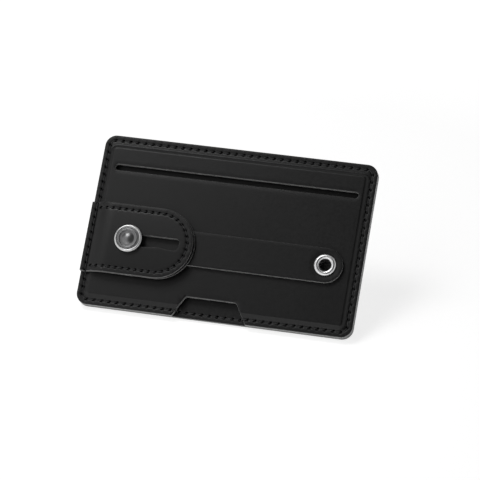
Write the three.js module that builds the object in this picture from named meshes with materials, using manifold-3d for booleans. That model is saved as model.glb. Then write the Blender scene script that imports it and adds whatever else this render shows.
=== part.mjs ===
// Stick-on card holder for the back of a phone: a flat leather pocket with a finger strap.
// Lengths are in millimetres. The holder lies on its back: X runs along it, Y up it, Z out of its face.
// The origin is the middle of the release liner's outer face, where the holder meets the phone.
import * as THREE from "three";
import { mergeVertices } from "three/addons/utils/BufferGeometryUtils.js";
import Module from "manifold-3d";

const wasm = await Module();
wasm.setup();

// Holder outline
const HOLDER_WIDTH = 98;
const HOLDER_HEIGHT = 62;
const CORNER_RADIUS = 4;
const EDGE_ROUND = 0.3;

// Layers, from the phone outwards
const LINER_THICKNESS = 0.15;
const PAD_THICKNESS = 0.6;
const PAD_MARGIN = 3.6;
const PAD_CORNER_RADIUS = 3;
const BACK_PANEL_THICKNESS = 1.8;
const FRONT_PANEL_THICKNESS = 1.8;

// Card pocket, pressed up out of the front panel
const POCKET_DEPTH = 1;
const POCKET_CORNER_RADIUS = 2.6;
const SHOULDER_SIDE_INSET = 2.3;
const SHOULDER_TOP_INSET = 3.2;
const SHOULDER_RUN = 1.8;
const POCKET_WALL_RUN = 0.7;

// Slot that the cards go in through
const CARD_SLOT_WIDTH = 2.2;
const CARD_SLOT_END_MARGIN = 1.3;
const CARD_SLOT_BELOW_TOP = 11.7;

// Notch in the front panel's lower edge, for the thumb that pushes the cards out
const NOTCH_TOP_WIDTH = 17.9;
const NOTCH_MOUTH_WIDTH = 26.1;
const NOTCH_HEIGHT = 7.1;
const NOTCH_OFFSET_X = -1.2;
const NOTCH_CORNER_RADIUS = 0.8;

// Stitching
const SEAM_INSET = 1.9;
const STITCH_LENGTH = 2.75;
const TAB_STITCH_LENGTH = 2.4;
const THREAD_DIAMETER = 0.44;
const STITCH_DIP = 0.28;
const CHANNEL_CLEARANCE = 0.13;
const STEP_CLEARANCE = 0.2;
const STEP_RUN = 0.35;

// Strap, which the eyelet holds at one end and the button at the other
const FASTENING_LINE_Y = -7.1;
const STRAP_WIDTH = 12.2;
const STRAP_THICKNESS = 1.4;
const EYELET_FROM_RIGHT = 12.6;
const BUTTON_FROM_LEFT = 16;

// Tab, sewn to the left edge, that the button slides in
const TAB_WIDTH = 24.9;
const TAB_REACH = 39.4;
const TAB_FACE_THICKNESS = 1.1;
const TAB_LINING_THICKNESS = 0.9;
const TAB_LINING_OVERHANG = 0.6;
const TAB_EDGE_DROOP = 0.35;
const TAB_RISE_POWER = 2.5;
const TAB_LAYER_GAP = 0.06;
const TAB_STRAP_GAP = 0.25;
const TAB_SLOT_WIDTH = 4.3;
const TAB_SLOT_END_MARGIN = 4.8;
const TAB_SLOT_CORNER_RADIUS = 1.3;
const TAB_SLOT_NIB_HEIGHT = 0.45;
const TAB_SLOT_NIB_SPREAD = 4.2;

// Eyelet
const EYELET_HOLE_DIAMETER = 4.2;
const EYELET_FLANGE_DIAMETER = 7.7;
const EYELET_FLANGE_HEIGHT = 0.75;
const EYELET_WALL = 0.45;
const EYELET_WASHER_THICKNESS = 0.3;
const EYELET_ROLL_HEIGHT = 0.35;
const EYELET_ROLL_WIDTH = 0.75;
const HOLE_CLEARANCE = 0.1;

// Button
const BUTTON_DIAMETER = 9.8;
const BUTTON_CAP_HEIGHT = 1.3;
const BUTTON_RIM_RADIUS = 0.55;
const BUTTON_FACE_SINK = 0.3;
const BUTTON_RING_DIAMETER = 6.4;
const BUTTON_RING_HEIGHT = 0.12;
const BUTTON_DOME_DIAMETER = 4.4;
const BUTTON_DOME_RISE = 0.6;
const BUTTON_SHANK_DIAMETER = 2;
const BUTTON_COLLAR_DIAMETER = 3.2;
const BUTTON_WASHER_DIAMETER = 7;
const BUTTON_WASHER_THICKNESS = 0.35;
const RIVET_TAIL_DIAMETER = 3.4;
const RIVET_TAIL_HEIGHT = 0.2;
const SLIDE_CLEARANCE = 0.1;

// Smoothness of round forms
const TURNED_SIDES = 24;
const CORNER_SIDES = 6;
const SHOULDER_STEPS = 4;
const BEVEL_STEPS = 2;
const THREAD_SIDES = 5;
const POINTS_PER_STITCH = 2;
const EYELET_CROWN_STEPS = 8;
const CAP_RING_STEPS = 4;
const CAP_FOOT_STEPS = 3;
const CAP_ROLL_STEPS = 6;
const CAP_ROLL_END_DEGREES = 150;
const DOME_STEPS = 5;
const TAB_END_COLUMNS = 7;
const TAB_END_STOP_DEGREES = 85.5;
const TAB_COLUMN_SPACING = 3.4;
const TAB_RISE_COLUMNS = 7;
const TAB_SECTION_STEPS = 8;
const NEARLY_ROUND = 0.98;
const MERGE_DISTANCE = 1e-4;
const CUT_MARGIN = 1;

// Heights and places that follow from the sizes
const backPanelBottom = LINER_THICKNESS + PAD_THICKNESS;
const backPanelTop = backPanelBottom + BACK_PANEL_THICKNESS;
const flangeTop = backPanelTop + FRONT_PANEL_THICKNESS;
const pocketTop = backPanelTop + POCKET_DEPTH;
const plateauTop = flangeTop + POCKET_DEPTH;
const strapTop = plateauTop + STRAP_THICKNESS;
const tabThickness = TAB_LINING_THICKNESS + TAB_FACE_THICKNESS;
const capUnderside = strapTop + TAB_STRAP_GAP + tabThickness + SLIDE_CLEARANCE;
const capFace = capUnderside + BUTTON_CAP_HEIGHT - BUTTON_FACE_SINK;
const washerBottom = plateauTop + SLIDE_CLEARANCE + RIVET_TAIL_HEIGHT;
const washerTop = washerBottom + BUTTON_WASHER_THICKNESS;
const leftEdge = -HOLDER_WIDTH / 2;
const bottomEdge = -HOLDER_HEIGHT / 2;
const eyeletX = -leftEdge - EYELET_FROM_RIGHT;
const buttonX = leftEdge + BUTTON_FROM_LEFT;
const tabHalfWidth = TAB_WIDTH / 2;
const strapHalfWidth = STRAP_WIDTH / 2;
const tabLiningEnd = leftEdge + TAB_REACH;
const tabFaceEnd = tabLiningEnd - TAB_LINING_OVERHANG;
const tabSlotEnd = tabFaceEnd - TAB_SLOT_END_MARGIN;
const channelDepth = STITCH_DIP + THREAD_DIAMETER / 2 + CHANNEL_CLEARANCE;
const channelWidth = THREAD_DIAMETER + 2 * CHANNEL_CLEARANCE;

// Helpers for shapes

// A slow start and a slow end: 0 below the start, 1 above the end.
function smoothStep(value, start, end) {
  const t = THREE.MathUtils.clamp((value - start) / (end - start), 0, 1);
  return t * t * (3 - 2 * t);
}

// Evenly spaced numbers from start to end, both included.
function evenly(start, end, steps) {
  return Array.from({ length: steps + 1 }, (_, i) => start + ((end - start) * i) / steps);
}

// The holder's rectangle, drawn in by an inset on each side, with its upper inset set by itself.
function holderBounds(inset, topInset = inset) {
  return {
    left: leftEdge + inset,
    right: -leftEdge - inset,
    bottom: bottomEdge + inset,
    top: -bottomEdge - topInset,
  };
}

// The four corner arcs of a rounded rectangle, counter-clockwise from its lower right corner.
function cornerArcs({ left, right, bottom, top }, radius) {
  return [
    { x: right - radius, y: bottom + radius, start: -Math.PI / 2 },
    { x: right - radius, y: top - radius, start: 0 },
    { x: left + radius, y: top - radius, start: Math.PI / 2 },
    { x: left + radius, y: bottom + radius, start: Math.PI },
  ];
}

// A rounded rectangle as a shape.
function roundedRectangle(bounds, radius) {
  const shape = new THREE.Shape();
  for (const { x, y, start } of cornerArcs(bounds, radius)) {
    shape.absarc(x, y, radius, start, start + Math.PI / 2);
  }
  return shape;
}

// A rounded rectangle as a ring of points at one height.
function rectangleRing(bounds, radius, z) {
  return cornerArcs(bounds, radius).flatMap(({ x, y, start }) =>
    evenly(start, start + Math.PI / 2, CORNER_SIDES).map(
      (angle) => new THREE.Vector3(x + radius * Math.cos(angle), y + radius * Math.sin(angle), z),
    ),
  );
}

// Points of an arc in a profile of radius and height.
function profileArc(centreRadius, centreHeight, radius, startDegrees, endDegrees, steps) {
  return evenly(startDegrees, endDegrees, steps).map((degrees) => {
    const angle = THREE.MathUtils.degToRad(degrees);
    return new THREE.Vector2(centreRadius + radius * Math.cos(angle), centreHeight + radius * Math.sin(angle));
  });
}

// Helpers for solids

// A closed geometry as a solid that can be cut and joined.
function solidOf(geometry) {
  const bare = geometry.clone();
  bare.deleteAttribute("normal");
  bare.deleteAttribute("uv");
  const merged = mergeVertices(bare, MERGE_DISTANCE);
  const vertProperties = new Float32Array(merged.attributes.position.array);
  const triVerts = new Uint32Array(merged.index.array);
  return new wasm.Manifold(new wasm.Mesh({ numProp: 3, vertProperties, triVerts }));
}

// A cut or joined solid as a geometry.
function geometryOf(solid) {
  const { vertProperties, triVerts } = solid.getMesh();
  const geometry = new THREE.BufferGeometry();
  geometry.setAttribute("position", new THREE.BufferAttribute(vertProperties, 3));
  geometry.setIndex(new THREE.BufferAttribute(triVerts, 1));
  geometry.computeVertexNormals();
  return geometry;
}

// An upright prism of a shape between two heights.
function prism(shape, bottom, top) {
  const options = { depth: top - bottom, bevelEnabled: false, curveSegments: CORNER_SIDES };
  return new THREE.ExtrudeGeometry(shape, options).translate(0, 0, bottom);
}

// A sheet of a shape between two heights, with its edges rounded over.
function roundedSheet(shape, bottom, top, round) {
  const options = {
    depth: top - bottom - 2 * round,
    bevelThickness: round,
    bevelSize: round,
    bevelOffset: -round,
    bevelSegments: BEVEL_STEPS,
    curveSegments: CORNER_SIDES,
  };
  return new THREE.ExtrudeGeometry(shape, options).translate(0, 0, bottom + round);
}

// Rings of the same number of points joined into a surface, with both ends capped.
// Each four-sided face is split along its shorter diagonal, so that layers with the same rings nest.
// A closed loop of rings joins its last ring to its first and has no caps.
function joinedRings(rings, isLoop = false) {
  const size = rings[0].length;
  const corners = rings.flat();
  const positions = corners.flatMap((point) => point.toArray());
  const faces = [];
  const spans = isLoop ? rings.length : rings.length - 1;
  for (let i = 0; i < spans; i += 1) {
    const here = i * size;
    const there = ((i + 1) % rings.length) * size;
    for (let j = 0; j < size; j += 1) {
      const next = (j + 1) % size;
      const [a, b, c, d] = [here + j, here + next, there + next, there + j];
      const isForward = corners[a].distanceTo(corners[c]) <= corners[b].distanceTo(corners[d]);
      faces.push(...(isForward ? [a, b, c, a, c, d] : [a, b, d, b, c, d]));
    }
  }
  if (!isLoop) {
    const last = (rings.length - 1) * size;
    for (let j = 1; j < size - 1; j += 1) {
      faces.push(0, j + 1, j, last, last + j, last + j + 1);
    }
  }
  const geometry = new THREE.BufferGeometry();
  geometry.setAttribute("position", new THREE.Float32BufferAttribute(positions, 3));
  geometry.setIndex(faces);
  geometry.computeVertexNormals();
  return geometry;
}

// A profile of radius and height turned about the upright axis.
function turned(profile) {
  return new THREE.LatheGeometry(profile, TURNED_SIDES).rotateX(Math.PI / 2);
}

// A round hole's cutter.
function holeCutter(x, y, radius, bottom, top) {
  const circle = new THREE.Shape().absarc(0, 0, radius, 0, 2 * Math.PI);
  const options = { depth: top - bottom, bevelEnabled: false, curveSegments: TURNED_SIDES };
  return solidOf(new THREE.ExtrudeGeometry(circle, options).translate(x, y, bottom));
}

// A section of side and height carried along a line of points, kept upright across the line.
function carriedAlong(points, section, isLoop = false) {
  const up = new THREE.Vector3(0, 0, 1);
  const count = points.length;
  const rings = points.map((point, i) => {
    const before = isLoop ? points[(i + count - 1) % count] : points[Math.max(i - 1, 0)];
    const after = isLoop ? points[(i + 1) % count] : points[Math.min(i + 1, count - 1)];
    const along = after.clone().sub(before).normalize();
    const side = up.clone().cross(along).normalize();
    const rise = along.clone().cross(side);
    return section.map(([across, height]) =>
      point.clone().addScaledVector(side, across).addScaledVector(rise, height),
    );
  });
  return joinedRings(rings, isLoop);
}

// Stitching

// The perimeter seam's line, counter-clockwise from the start of the lower side.
function perimeterLine() {
  const bounds = holderBounds(SEAM_INSET);
  const radius = CORNER_RADIUS - SEAM_INSET;
  const path = new THREE.Path();
  path.moveTo(bounds.left + radius, bounds.bottom);
  path.lineTo(bounds.right - radius, bounds.bottom);
  for (const { x, y, start } of cornerArcs(bounds, radius)) {
    path.absarc(x, y, radius, start, start + Math.PI / 2);
  }
  return path;
}

// Half the thumb notch's width at a height above the lower edge.
function notchHalfWidth(aboveEdge) {
  const share = aboveEdge / NOTCH_HEIGHT;
  return THREE.MathUtils.lerp(NOTCH_MOUTH_WIDTH, NOTCH_TOP_WIDTH, share) / 2;
}

// Where the seam steps down onto the back panel in the notch and up onto the tab's end, as lengths
// along the perimeter line with the height that holds between the step's two ends.
function perimeterSteps(lineLength) {
  const bounds = holderBounds(SEAM_INSET);
  const start = bounds.left + CORNER_RADIUS - SEAM_INSET;
  const reach = notchHalfWidth(SEAM_INSET) - STEP_CLEARANCE;
  const notch = {
    from: NOTCH_OFFSET_X - reach - start,
    to: NOTCH_OFFSET_X + reach - start,
    inner: true,
    height: backPanelTop,
  };
  const lineEnd = bounds.bottom + CORNER_RADIUS - SEAM_INSET;
  const cornerLength = ((CORNER_RADIUS - SEAM_INSET) * Math.PI) / 2;
  const sideEnd = lineLength - cornerLength;
  const tabReach = tabHalfWidth + STEP_CLEARANCE;
  const tab = {
    from: sideEnd - (FASTENING_LINE_Y + tabReach - lineEnd),
    to: sideEnd - (FASTENING_LINE_Y - tabReach - lineEnd),
    inner: false,
    height: flangeTop + tabThickness,
  };
  return [notch, tab];
}

// The height of the leather under the seam at a length along the line.
function perimeterHeight(length, steps) {
  for (const { from, to, inner, height } of steps) {
    const lead = inner ? 0 : STEP_RUN;
    const rise = Math.min(length - from + lead, to + lead - length) / STEP_RUN;
    if (rise > 0) return THREE.MathUtils.lerp(flangeTop, height, Math.min(rise, 1));
  }
  return flangeTop;
}

// A thread's centre line: it dips into its holes and comes up between them.
function threadPoints(lengths, stitch, placeAt) {
  return lengths.map((length) => {
    const point = placeAt(length);
    point.z -= STITCH_DIP * Math.cos((Math.PI * length) / stitch) ** 2;
    return point;
  });
}

// A thread's round section.
function threadSection() {
  return evenly(0, 2 * Math.PI, THREAD_SIDES)
    .slice(0, -1)
    .map((angle) => [Math.cos(angle) * (THREAD_DIAMETER / 2), Math.sin(angle) * (THREAD_DIAMETER / 2)]);
}

// One closed thread round the holder, at the height that a function gives along its length.
function perimeterThread(heightAt, extraLengths) {
  const line = perimeterLine();
  const total = line.getLength();
  const stitches = Math.round(total / STITCH_LENGTH);
  const points = evenly(0, total, stitches * POINTS_PER_STITCH).slice(0, -1);
  const lengths = [...points, ...extraLengths].sort((a, b) => a - b);
  const placeAt = (length) => {
    const { x, y } = line.getPointAt(length / total);
    return new THREE.Vector3(x, y, heightAt(length));
  };
  return carriedAlong(threadPoints(lengths, total / stitches, placeAt), threadSection(), true);
}

// The thread on the face, over the notch's step and the tab's end.
function faceThread() {
  const steps = perimeterSteps(perimeterLine().getLength());
  const stepLengths = steps.flatMap(({ from, to, inner }) =>
    inner ? [from, from + STEP_RUN, to - STEP_RUN, to] : [from - STEP_RUN, from, to, to + STEP_RUN],
  );
  return perimeterThread((length) => perimeterHeight(length, steps), stepLengths);
}

// The thread on the back, which dips the other way.
function backThread() {
  const thread = perimeterThread(() => 0, []);
  return thread.scale(1, -1, -1).translate(0, 0, backPanelBottom);
}

// The channel that a perimeter thread lies in, between two heights.
function perimeterChannel(bottom, top) {
  const half = channelWidth / 2;
  const outer = roundedRectangle(holderBounds(SEAM_INSET - half), CORNER_RADIUS - SEAM_INSET + half);
  outer.holes.push(roundedRectangle(holderBounds(SEAM_INSET + half), CORNER_RADIUS - SEAM_INSET - half));
  return solidOf(prism(outer, bottom, top));
}

// Holder body

// The thin paper that covers the adhesive until the holder is stuck on.
function releaseLiner() {
  return prism(roundedRectangle(holderBounds(PAD_MARGIN), PAD_CORNER_RADIUS), 0, LINER_THICKNESS);
}

// The double-sided foam pad.
function adhesivePad() {
  const outline = roundedRectangle(holderBounds(PAD_MARGIN), PAD_CORNER_RADIUS);
  return prism(outline, LINER_THICKNESS, backPanelBottom);
}

// The thumb notch's cutter: a trapezoid that is wider at the holder's edge.
function notchCutter() {
  const top = bottomEdge + NOTCH_HEIGHT;
  const below = bottomEdge - CUT_MARGIN;
  const flare = notchHalfWidth(-CUT_MARGIN);
  const half = NOTCH_TOP_WIDTH / 2;
  const round = NOTCH_CORNER_RADIUS;
  const side = notchHalfWidth(NOTCH_HEIGHT - round);
  const shape = new THREE.Shape();
  shape.moveTo(-flare, below);
  shape.lineTo(flare, below);
  shape.lineTo(side, top - round);
  shape.quadraticCurveTo(half, top, half - round, top);
  shape.lineTo(round - half, top);
  shape.quadraticCurveTo(-half, top, -side, top - round);
  shape.closePath();
  return solidOf(prism(shape, 0, plateauTop + CUT_MARGIN).translate(NOTCH_OFFSET_X, 0, 0));
}

// The back panel, with the seam's channel on its back and where the notch bares its face.
function backPanel() {
  const outline = roundedRectangle(holderBounds(0), CORNER_RADIUS);
  const sheet = solidOf(roundedSheet(outline, backPanelBottom, backPanelTop, EDGE_ROUND));
  const backChannel = perimeterChannel(backPanelBottom - CUT_MARGIN, backPanelBottom + channelDepth);
  const faceChannel = perimeterChannel(backPanelTop - channelDepth, backPanelTop + CUT_MARGIN);
  return geometryOf(sheet.subtract(backChannel).subtract(faceChannel.intersect(notchCutter())));
}

// A raised form with a rounded shoulder: rings that draw in over the run while they rise.
function raisedForm(run, foot, bottom, height) {
  const rings = evenly(0, 1, SHOULDER_STEPS).map((t) => {
    const bounds = holderBounds(SHOULDER_SIDE_INSET + run * t, SHOULDER_TOP_INSET + run * t);
    return rectangleRing(bounds, POCKET_CORNER_RADIUS - run * t, bottom + height * smoothStep(t, 0, 1));
  });
  const base = rectangleRing(holderBounds(SHOULDER_SIDE_INSET, SHOULDER_TOP_INSET), POCKET_CORNER_RADIUS, foot);
  return solidOf(joinedRings([base, ...rings]));
}

// The card slot's cutter.
function cardSlotCutter() {
  const shelf = holderBounds(SHOULDER_SIDE_INSET + SHOULDER_RUN + CARD_SLOT_END_MARGIN);
  const middle = -bottomEdge - CARD_SLOT_BELOW_TOP;
  const half = CARD_SLOT_WIDTH / 2;
  const bounds = { left: shelf.left, right: shelf.right, bottom: middle - half, top: middle + half };
  return solidOf(prism(roundedRectangle(bounds, half * NEARLY_ROUND), backPanelTop, plateauTop + CUT_MARGIN));
}

// The front panel: one sheet with a raised pocket, its slot, its notch and the seam's channel.
function frontPanel() {
  const outline = roundedRectangle(holderBounds(0), CORNER_RADIUS);
  const flange = solidOf(roundedSheet(outline, backPanelTop, flangeTop, EDGE_ROUND));
  const plateau = raisedForm(SHOULDER_RUN, pocketTop, flangeTop, POCKET_DEPTH);
  const pocket = raisedForm(POCKET_WALL_RUN, backPanelTop - CUT_MARGIN, backPanelTop, POCKET_DEPTH);
  const channel = perimeterChannel(flangeTop - channelDepth, flangeTop + CUT_MARGIN);
  const barrel = EYELET_HOLE_DIAMETER / 2 + EYELET_WALL + HOLE_CLEARANCE;
  const hole = holeCutter(eyeletX, FASTENING_LINE_Y, barrel, backPanelTop, plateauTop + CUT_MARGIN);
  return geometryOf(
    flange.add(plateau).subtract(pocket).subtract(cardSlotCutter()).subtract(notchCutter())
      .subtract(hole).subtract(channel),
  );
}

// Strap

// The strap's outline, round at both ends about the button and the eyelet.
function strapOutline() {
  const shape = new THREE.Shape();
  shape.absarc(eyeletX, FASTENING_LINE_Y, strapHalfWidth, -Math.PI / 2, Math.PI / 2);
  shape.absarc(buttonX, FASTENING_LINE_Y, strapHalfWidth, Math.PI / 2, (3 * Math.PI) / 2);
  return shape;
}

// The strap, with holes for the eyelet and the button's rivet and a seat under it for the washer.
function strap() {
  const sheet = solidOf(prism(strapOutline(), plateauTop, strapTop));
  const above = strapTop + CUT_MARGIN;
  const below = plateauTop - CUT_MARGIN;
  const barrel = EYELET_HOLE_DIAMETER / 2 + EYELET_WALL + HOLE_CLEARANCE;
  const shank = BUTTON_SHANK_DIAMETER / 2 + HOLE_CLEARANCE;
  const seat = BUTTON_WASHER_DIAMETER / 2 + HOLE_CLEARANCE;
  return geometryOf(
    sheet
      .subtract(holeCutter(eyeletX, FASTENING_LINE_Y, barrel, below, above))
      .subtract(holeCutter(buttonX, FASTENING_LINE_Y, shank, below, above))
      .subtract(holeCutter(buttonX, FASTENING_LINE_Y, seat, below, washerTop)),
  );
}

// Tab

// Where the tab starts to climb off the edge, and where it is up on the strap's end.
const tabRise = {
  start: leftEdge + SEAM_INSET + channelWidth / 2,
  end: buttonX - strapHalfWidth - TAB_STRAP_GAP,
};

// The height of the tab's underside: flat on the edge, drawn up over the pocket onto the strap, then
// level along it with its two long sides a little lower than its middle.
function tabUnderside(x, y) {
  const away = (y - FASTENING_LINE_Y) / tabHalfWidth;
  const left = 1 - THREE.MathUtils.clamp((x - tabRise.start) / (tabRise.end - tabRise.start), 0, 1);
  const climb = POCKET_DEPTH + STRAP_THICKNESS + TAB_STRAP_GAP - TAB_EDGE_DROOP * away ** 2;
  return flangeTop + climb * (1 - left ** TAB_RISE_POWER);
}

// The tab's columns from the left edge to its round end, each with half its width there.
function tabColumns() {
  const centre = tabLiningEnd - tabHalfWidth;
  const straight = [
    leftEdge,
    ...evenly(tabRise.start, tabRise.end, TAB_RISE_COLUMNS),
    ...evenly(tabRise.end, centre, Math.ceil((centre - tabRise.end) / TAB_COLUMN_SPACING)).slice(1, -1),
  ];
  const lastAngle = THREE.MathUtils.degToRad(TAB_END_STOP_DEGREES);
  const round = evenly(0, lastAngle, TAB_END_COLUMNS).map((angle) => ({
    x: centre + tabHalfWidth * Math.sin(angle),
    half: tabHalfWidth * Math.cos(angle),
  }));
  return [...straight.map((x) => ({ x, half: tabHalfWidth })), ...round];
}

// One layer of the tab: cross-sections along it, between two heights above its underside.
function tabLayer(low, high) {
  const shares = evenly(-1, 1, TAB_SECTION_STEPS);
  const rings = tabColumns().map(({ x, half }) => {
    const lower = shares.map((share) => {
      const y = FASTENING_LINE_Y + half * share;
      return new THREE.Vector3(x, y, tabUnderside(x, y) + low);
    });
    const upper = lower.map(({ y, z }) => new THREE.Vector3(x, y, z + high - low)).reverse();
    return [...lower, ...upper];
  });
  return solidOf(joinedRings(rings));
}

// The tab's slot: round at the button, squarer at its far end, with a nib in its lower lip.
function tabSlotCutter() {
  const half = TAB_SLOT_WIDTH / 2;
  const y = FASTENING_LINE_Y;
  const nibX = (buttonX + tabSlotEnd) / 2 + TAB_SLOT_NIB_SPREAD / 2;
  const nibTop = y - half + TAB_SLOT_NIB_HEIGHT;
  const bend = TAB_SLOT_NIB_SPREAD / 2;
  const corner = TAB_SLOT_CORNER_RADIUS;
  const shape = new THREE.Shape();
  shape.absarc(buttonX, y, half, Math.PI / 2, (3 * Math.PI) / 2);
  shape.lineTo(nibX - TAB_SLOT_NIB_SPREAD, y - half);
  shape.bezierCurveTo(nibX - bend, y - half, nibX - bend, nibTop, nibX, nibTop);
  shape.bezierCurveTo(nibX + bend / 2, nibTop, nibX + bend / 2, y - half, nibX + bend, y - half);
  shape.absarc(tabSlotEnd - corner, y - half + corner, corner, -Math.PI / 2, 0);
  shape.absarc(tabSlotEnd - corner, y + half - corner, corner, 0, Math.PI / 2);
  shape.closePath();
  return solidOf(prism(shape, plateauTop, capUnderside + CUT_MARGIN));
}

// The tab seam's line: in along the upper side, round the end and back along the lower side.
function tabSeamLine() {
  const start = leftEdge + 2 * SEAM_INSET;
  const centre = tabFaceEnd - tabHalfWidth;
  const reach = tabHalfWidth - SEAM_INSET;
  const path = new THREE.Path();
  path.moveTo(start, FASTENING_LINE_Y + reach);
  path.lineTo(centre, FASTENING_LINE_Y + reach);
  path.absarc(centre, FASTENING_LINE_Y, reach, Math.PI / 2, -Math.PI / 2, true);
  path.lineTo(start, FASTENING_LINE_Y - reach);
  return path;
}

// The thread's lengths along the tab's seam and the place of each on the tab's face.
function tabSeam() {
  const line = tabSeamLine();
  const total = line.getLength();
  const stitches = Math.round(total / TAB_STITCH_LENGTH);
  const placeAt = (length) => {
    const { x, y } = line.getPointAt(length / total);
    return new THREE.Vector3(x, y, tabUnderside(x, y) + tabThickness);
  };
  return { lengths: evenly(0, total, stitches * POINTS_PER_STITCH), stitch: total / stitches, placeAt };
}

// The tab's thread.
function tabThread() {
  const { lengths, stitch, placeAt } = tabSeam();
  return carriedAlong(threadPoints(lengths, stitch, placeAt), threadSection());
}

// The channel along the tab's seam, as deep as the perimeter's.
function tabChannel() {
  const { lengths, placeAt } = tabSeam();
  const half = channelWidth / 2;
  const section = [[-half, -channelDepth], [half, -channelDepth], [half, CUT_MARGIN], [-half, CUT_MARGIN]];
  const points = lengths.map(placeAt);
  const ends = [points[0], points[points.length - 1]];
  ends.forEach((point) => {
    point.x -= CHANNEL_CLEARANCE;
  });
  return solidOf(carriedAlong(points, section));
}

// The outline of the tab's face, whose round end stops short of the lining's.
function tabFaceOutline() {
  const centre = tabFaceEnd - tabHalfWidth;
  const beyond = leftEdge - CUT_MARGIN;
  const shape = new THREE.Shape();
  shape.moveTo(beyond, FASTENING_LINE_Y - tabHalfWidth);
  shape.lineTo(centre, FASTENING_LINE_Y - tabHalfWidth);
  shape.absarc(centre, FASTENING_LINE_Y, tabHalfWidth, -Math.PI / 2, Math.PI / 2);
  shape.lineTo(beyond, FASTENING_LINE_Y + tabHalfWidth);
  return shape;
}

// The tab's face, which both seams pass through.
function tabFace() {
  const end = perimeterChannel(flangeTop + tabThickness - channelDepth, capUnderside + CUT_MARGIN);
  const layer = tabLayer(TAB_LINING_THICKNESS + TAB_LAYER_GAP, tabThickness);
  const outline = solidOf(prism(tabFaceOutline(), backPanelTop, capUnderside + CUT_MARGIN));
  return geometryOf(layer.intersect(outline).subtract(tabSlotCutter()).subtract(tabChannel()).subtract(end));
}

// The tab's lining, which shows as a second edge round the end.
function tabLining() {
  return geometryOf(tabLayer(0, TAB_LINING_THICKNESS).subtract(tabSlotCutter()));
}

// Eyelet, with its heights counted from the strap's face

// The eyelet: a rounded flange, a barrel through strap and front panel, and a roll over the washer.
function eyelet() {
  const bore = EYELET_HOLE_DIAMETER / 2;
  const barrel = bore + EYELET_WALL;
  const rim = EYELET_FLANGE_DIAMETER / 2;
  const washerFoot = pocketTop - EYELET_WASHER_THICKNESS - strapTop;
  const crown = (rim - bore) / 2;
  const flange = profileArc(0, 0, 1, 0, 180, EYELET_CROWN_STEPS).map(
    ({ x, y }) => new THREE.Vector2(bore + crown + crown * x, EYELET_FLANGE_HEIGHT * y),
  );
  return turned([
    new THREE.Vector2(bore, washerFoot - EYELET_ROLL_HEIGHT),
    new THREE.Vector2(barrel + EYELET_ROLL_WIDTH / 2, washerFoot - EYELET_ROLL_HEIGHT),
    new THREE.Vector2(barrel + EYELET_ROLL_WIDTH, washerFoot - EYELET_ROLL_HEIGHT / 2),
    new THREE.Vector2(barrel + EYELET_ROLL_WIDTH, washerFoot),
    new THREE.Vector2(barrel, washerFoot),
    new THREE.Vector2(barrel, 0),
    ...flange,
    new THREE.Vector2(bore, washerFoot - EYELET_ROLL_HEIGHT),
  ]);
}

// A flat ring between two heights.
function ring(innerRadius, outerRadius, bottom, top) {
  return turned([
    new THREE.Vector2(innerRadius, bottom),
    new THREE.Vector2(outerRadius, bottom),
    new THREE.Vector2(outerRadius, top),
    new THREE.Vector2(innerRadius, top),
    new THREE.Vector2(innerRadius, bottom),
  ]);
}

// The washer that the eyelet is rolled over inside the pocket.
function eyeletWasher() {
  const inner = EYELET_HOLE_DIAMETER / 2 + EYELET_WALL + HOLE_CLEARANCE;
  const top = pocketTop - strapTop;
  return ring(inner, EYELET_FLANGE_DIAMETER / 2, top - EYELET_WASHER_THICKNESS, top);
}

// Button, with its heights counted from the origin

// The cap: a rolled rim round a sunk face with one raised ring.
function buttonCap() {
  const rim = BUTTON_DIAMETER / 2 - BUTTON_RIM_RADIUS;
  const crest = capUnderside + BUTTON_CAP_HEIGHT - BUTTON_RIM_RADIUS;
  const hole = BUTTON_SHANK_DIAMETER / 2 + HOLE_CLEARANCE;
  const faceRing = profileArc(BUTTON_RING_DIAMETER / 2, capFace, BUTTON_RING_HEIGHT, 0, 180, CAP_RING_STEPS);
  return turned([
    new THREE.Vector2(hole, capUnderside),
    ...profileArc(rim, capUnderside + BUTTON_RIM_RADIUS, BUTTON_RIM_RADIUS, -90, 0, CAP_FOOT_STEPS),
    ...profileArc(rim, crest, BUTTON_RIM_RADIUS, 0, CAP_ROLL_END_DEGREES, CAP_ROLL_STEPS),
    new THREE.Vector2(rim - BUTTON_RIM_RADIUS, capFace),
    ...faceRing,
    new THREE.Vector2(hole, capFace),
    new THREE.Vector2(hole, capUnderside),
  ]);
}

// The rivet: a domed head on the cap, a shank through collar and strap, and a tail under the washer.
function buttonRivet() {
  const head = BUTTON_DOME_DIAMETER / 2;
  const sphere = (head ** 2 + BUTTON_DOME_RISE ** 2) / (2 * BUTTON_DOME_RISE);
  const sphereHeight = capFace + BUTTON_DOME_RISE - sphere;
  const edge = THREE.MathUtils.radToDeg(Math.asin((sphere - BUTTON_DOME_RISE) / sphere));
  const shank = BUTTON_SHANK_DIAMETER / 2;
  const tail = RIVET_TAIL_DIAMETER / 2;
  const dome = profileArc(0, sphereHeight, sphere, edge, 90, DOME_STEPS).slice(0, -1);
  return turned([
    new THREE.Vector2(0, washerBottom - RIVET_TAIL_HEIGHT),
    new THREE.Vector2(tail, washerBottom - RIVET_TAIL_HEIGHT),
    new THREE.Vector2(tail, washerBottom),
    new THREE.Vector2(shank, washerBottom),
    new THREE.Vector2(shank, capFace),
    ...dome,
    new THREE.Vector2(0, capFace + BUTTON_DOME_RISE),
  ]);
}

// The collar that runs in the tab's slot and keeps the cap off the strap.
function buttonCollar() {
  const inner = BUTTON_SHANK_DIAMETER / 2 + HOLE_CLEARANCE;
  return ring(inner, BUTTON_COLLAR_DIAMETER / 2, strapTop, capUnderside);
}

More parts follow.
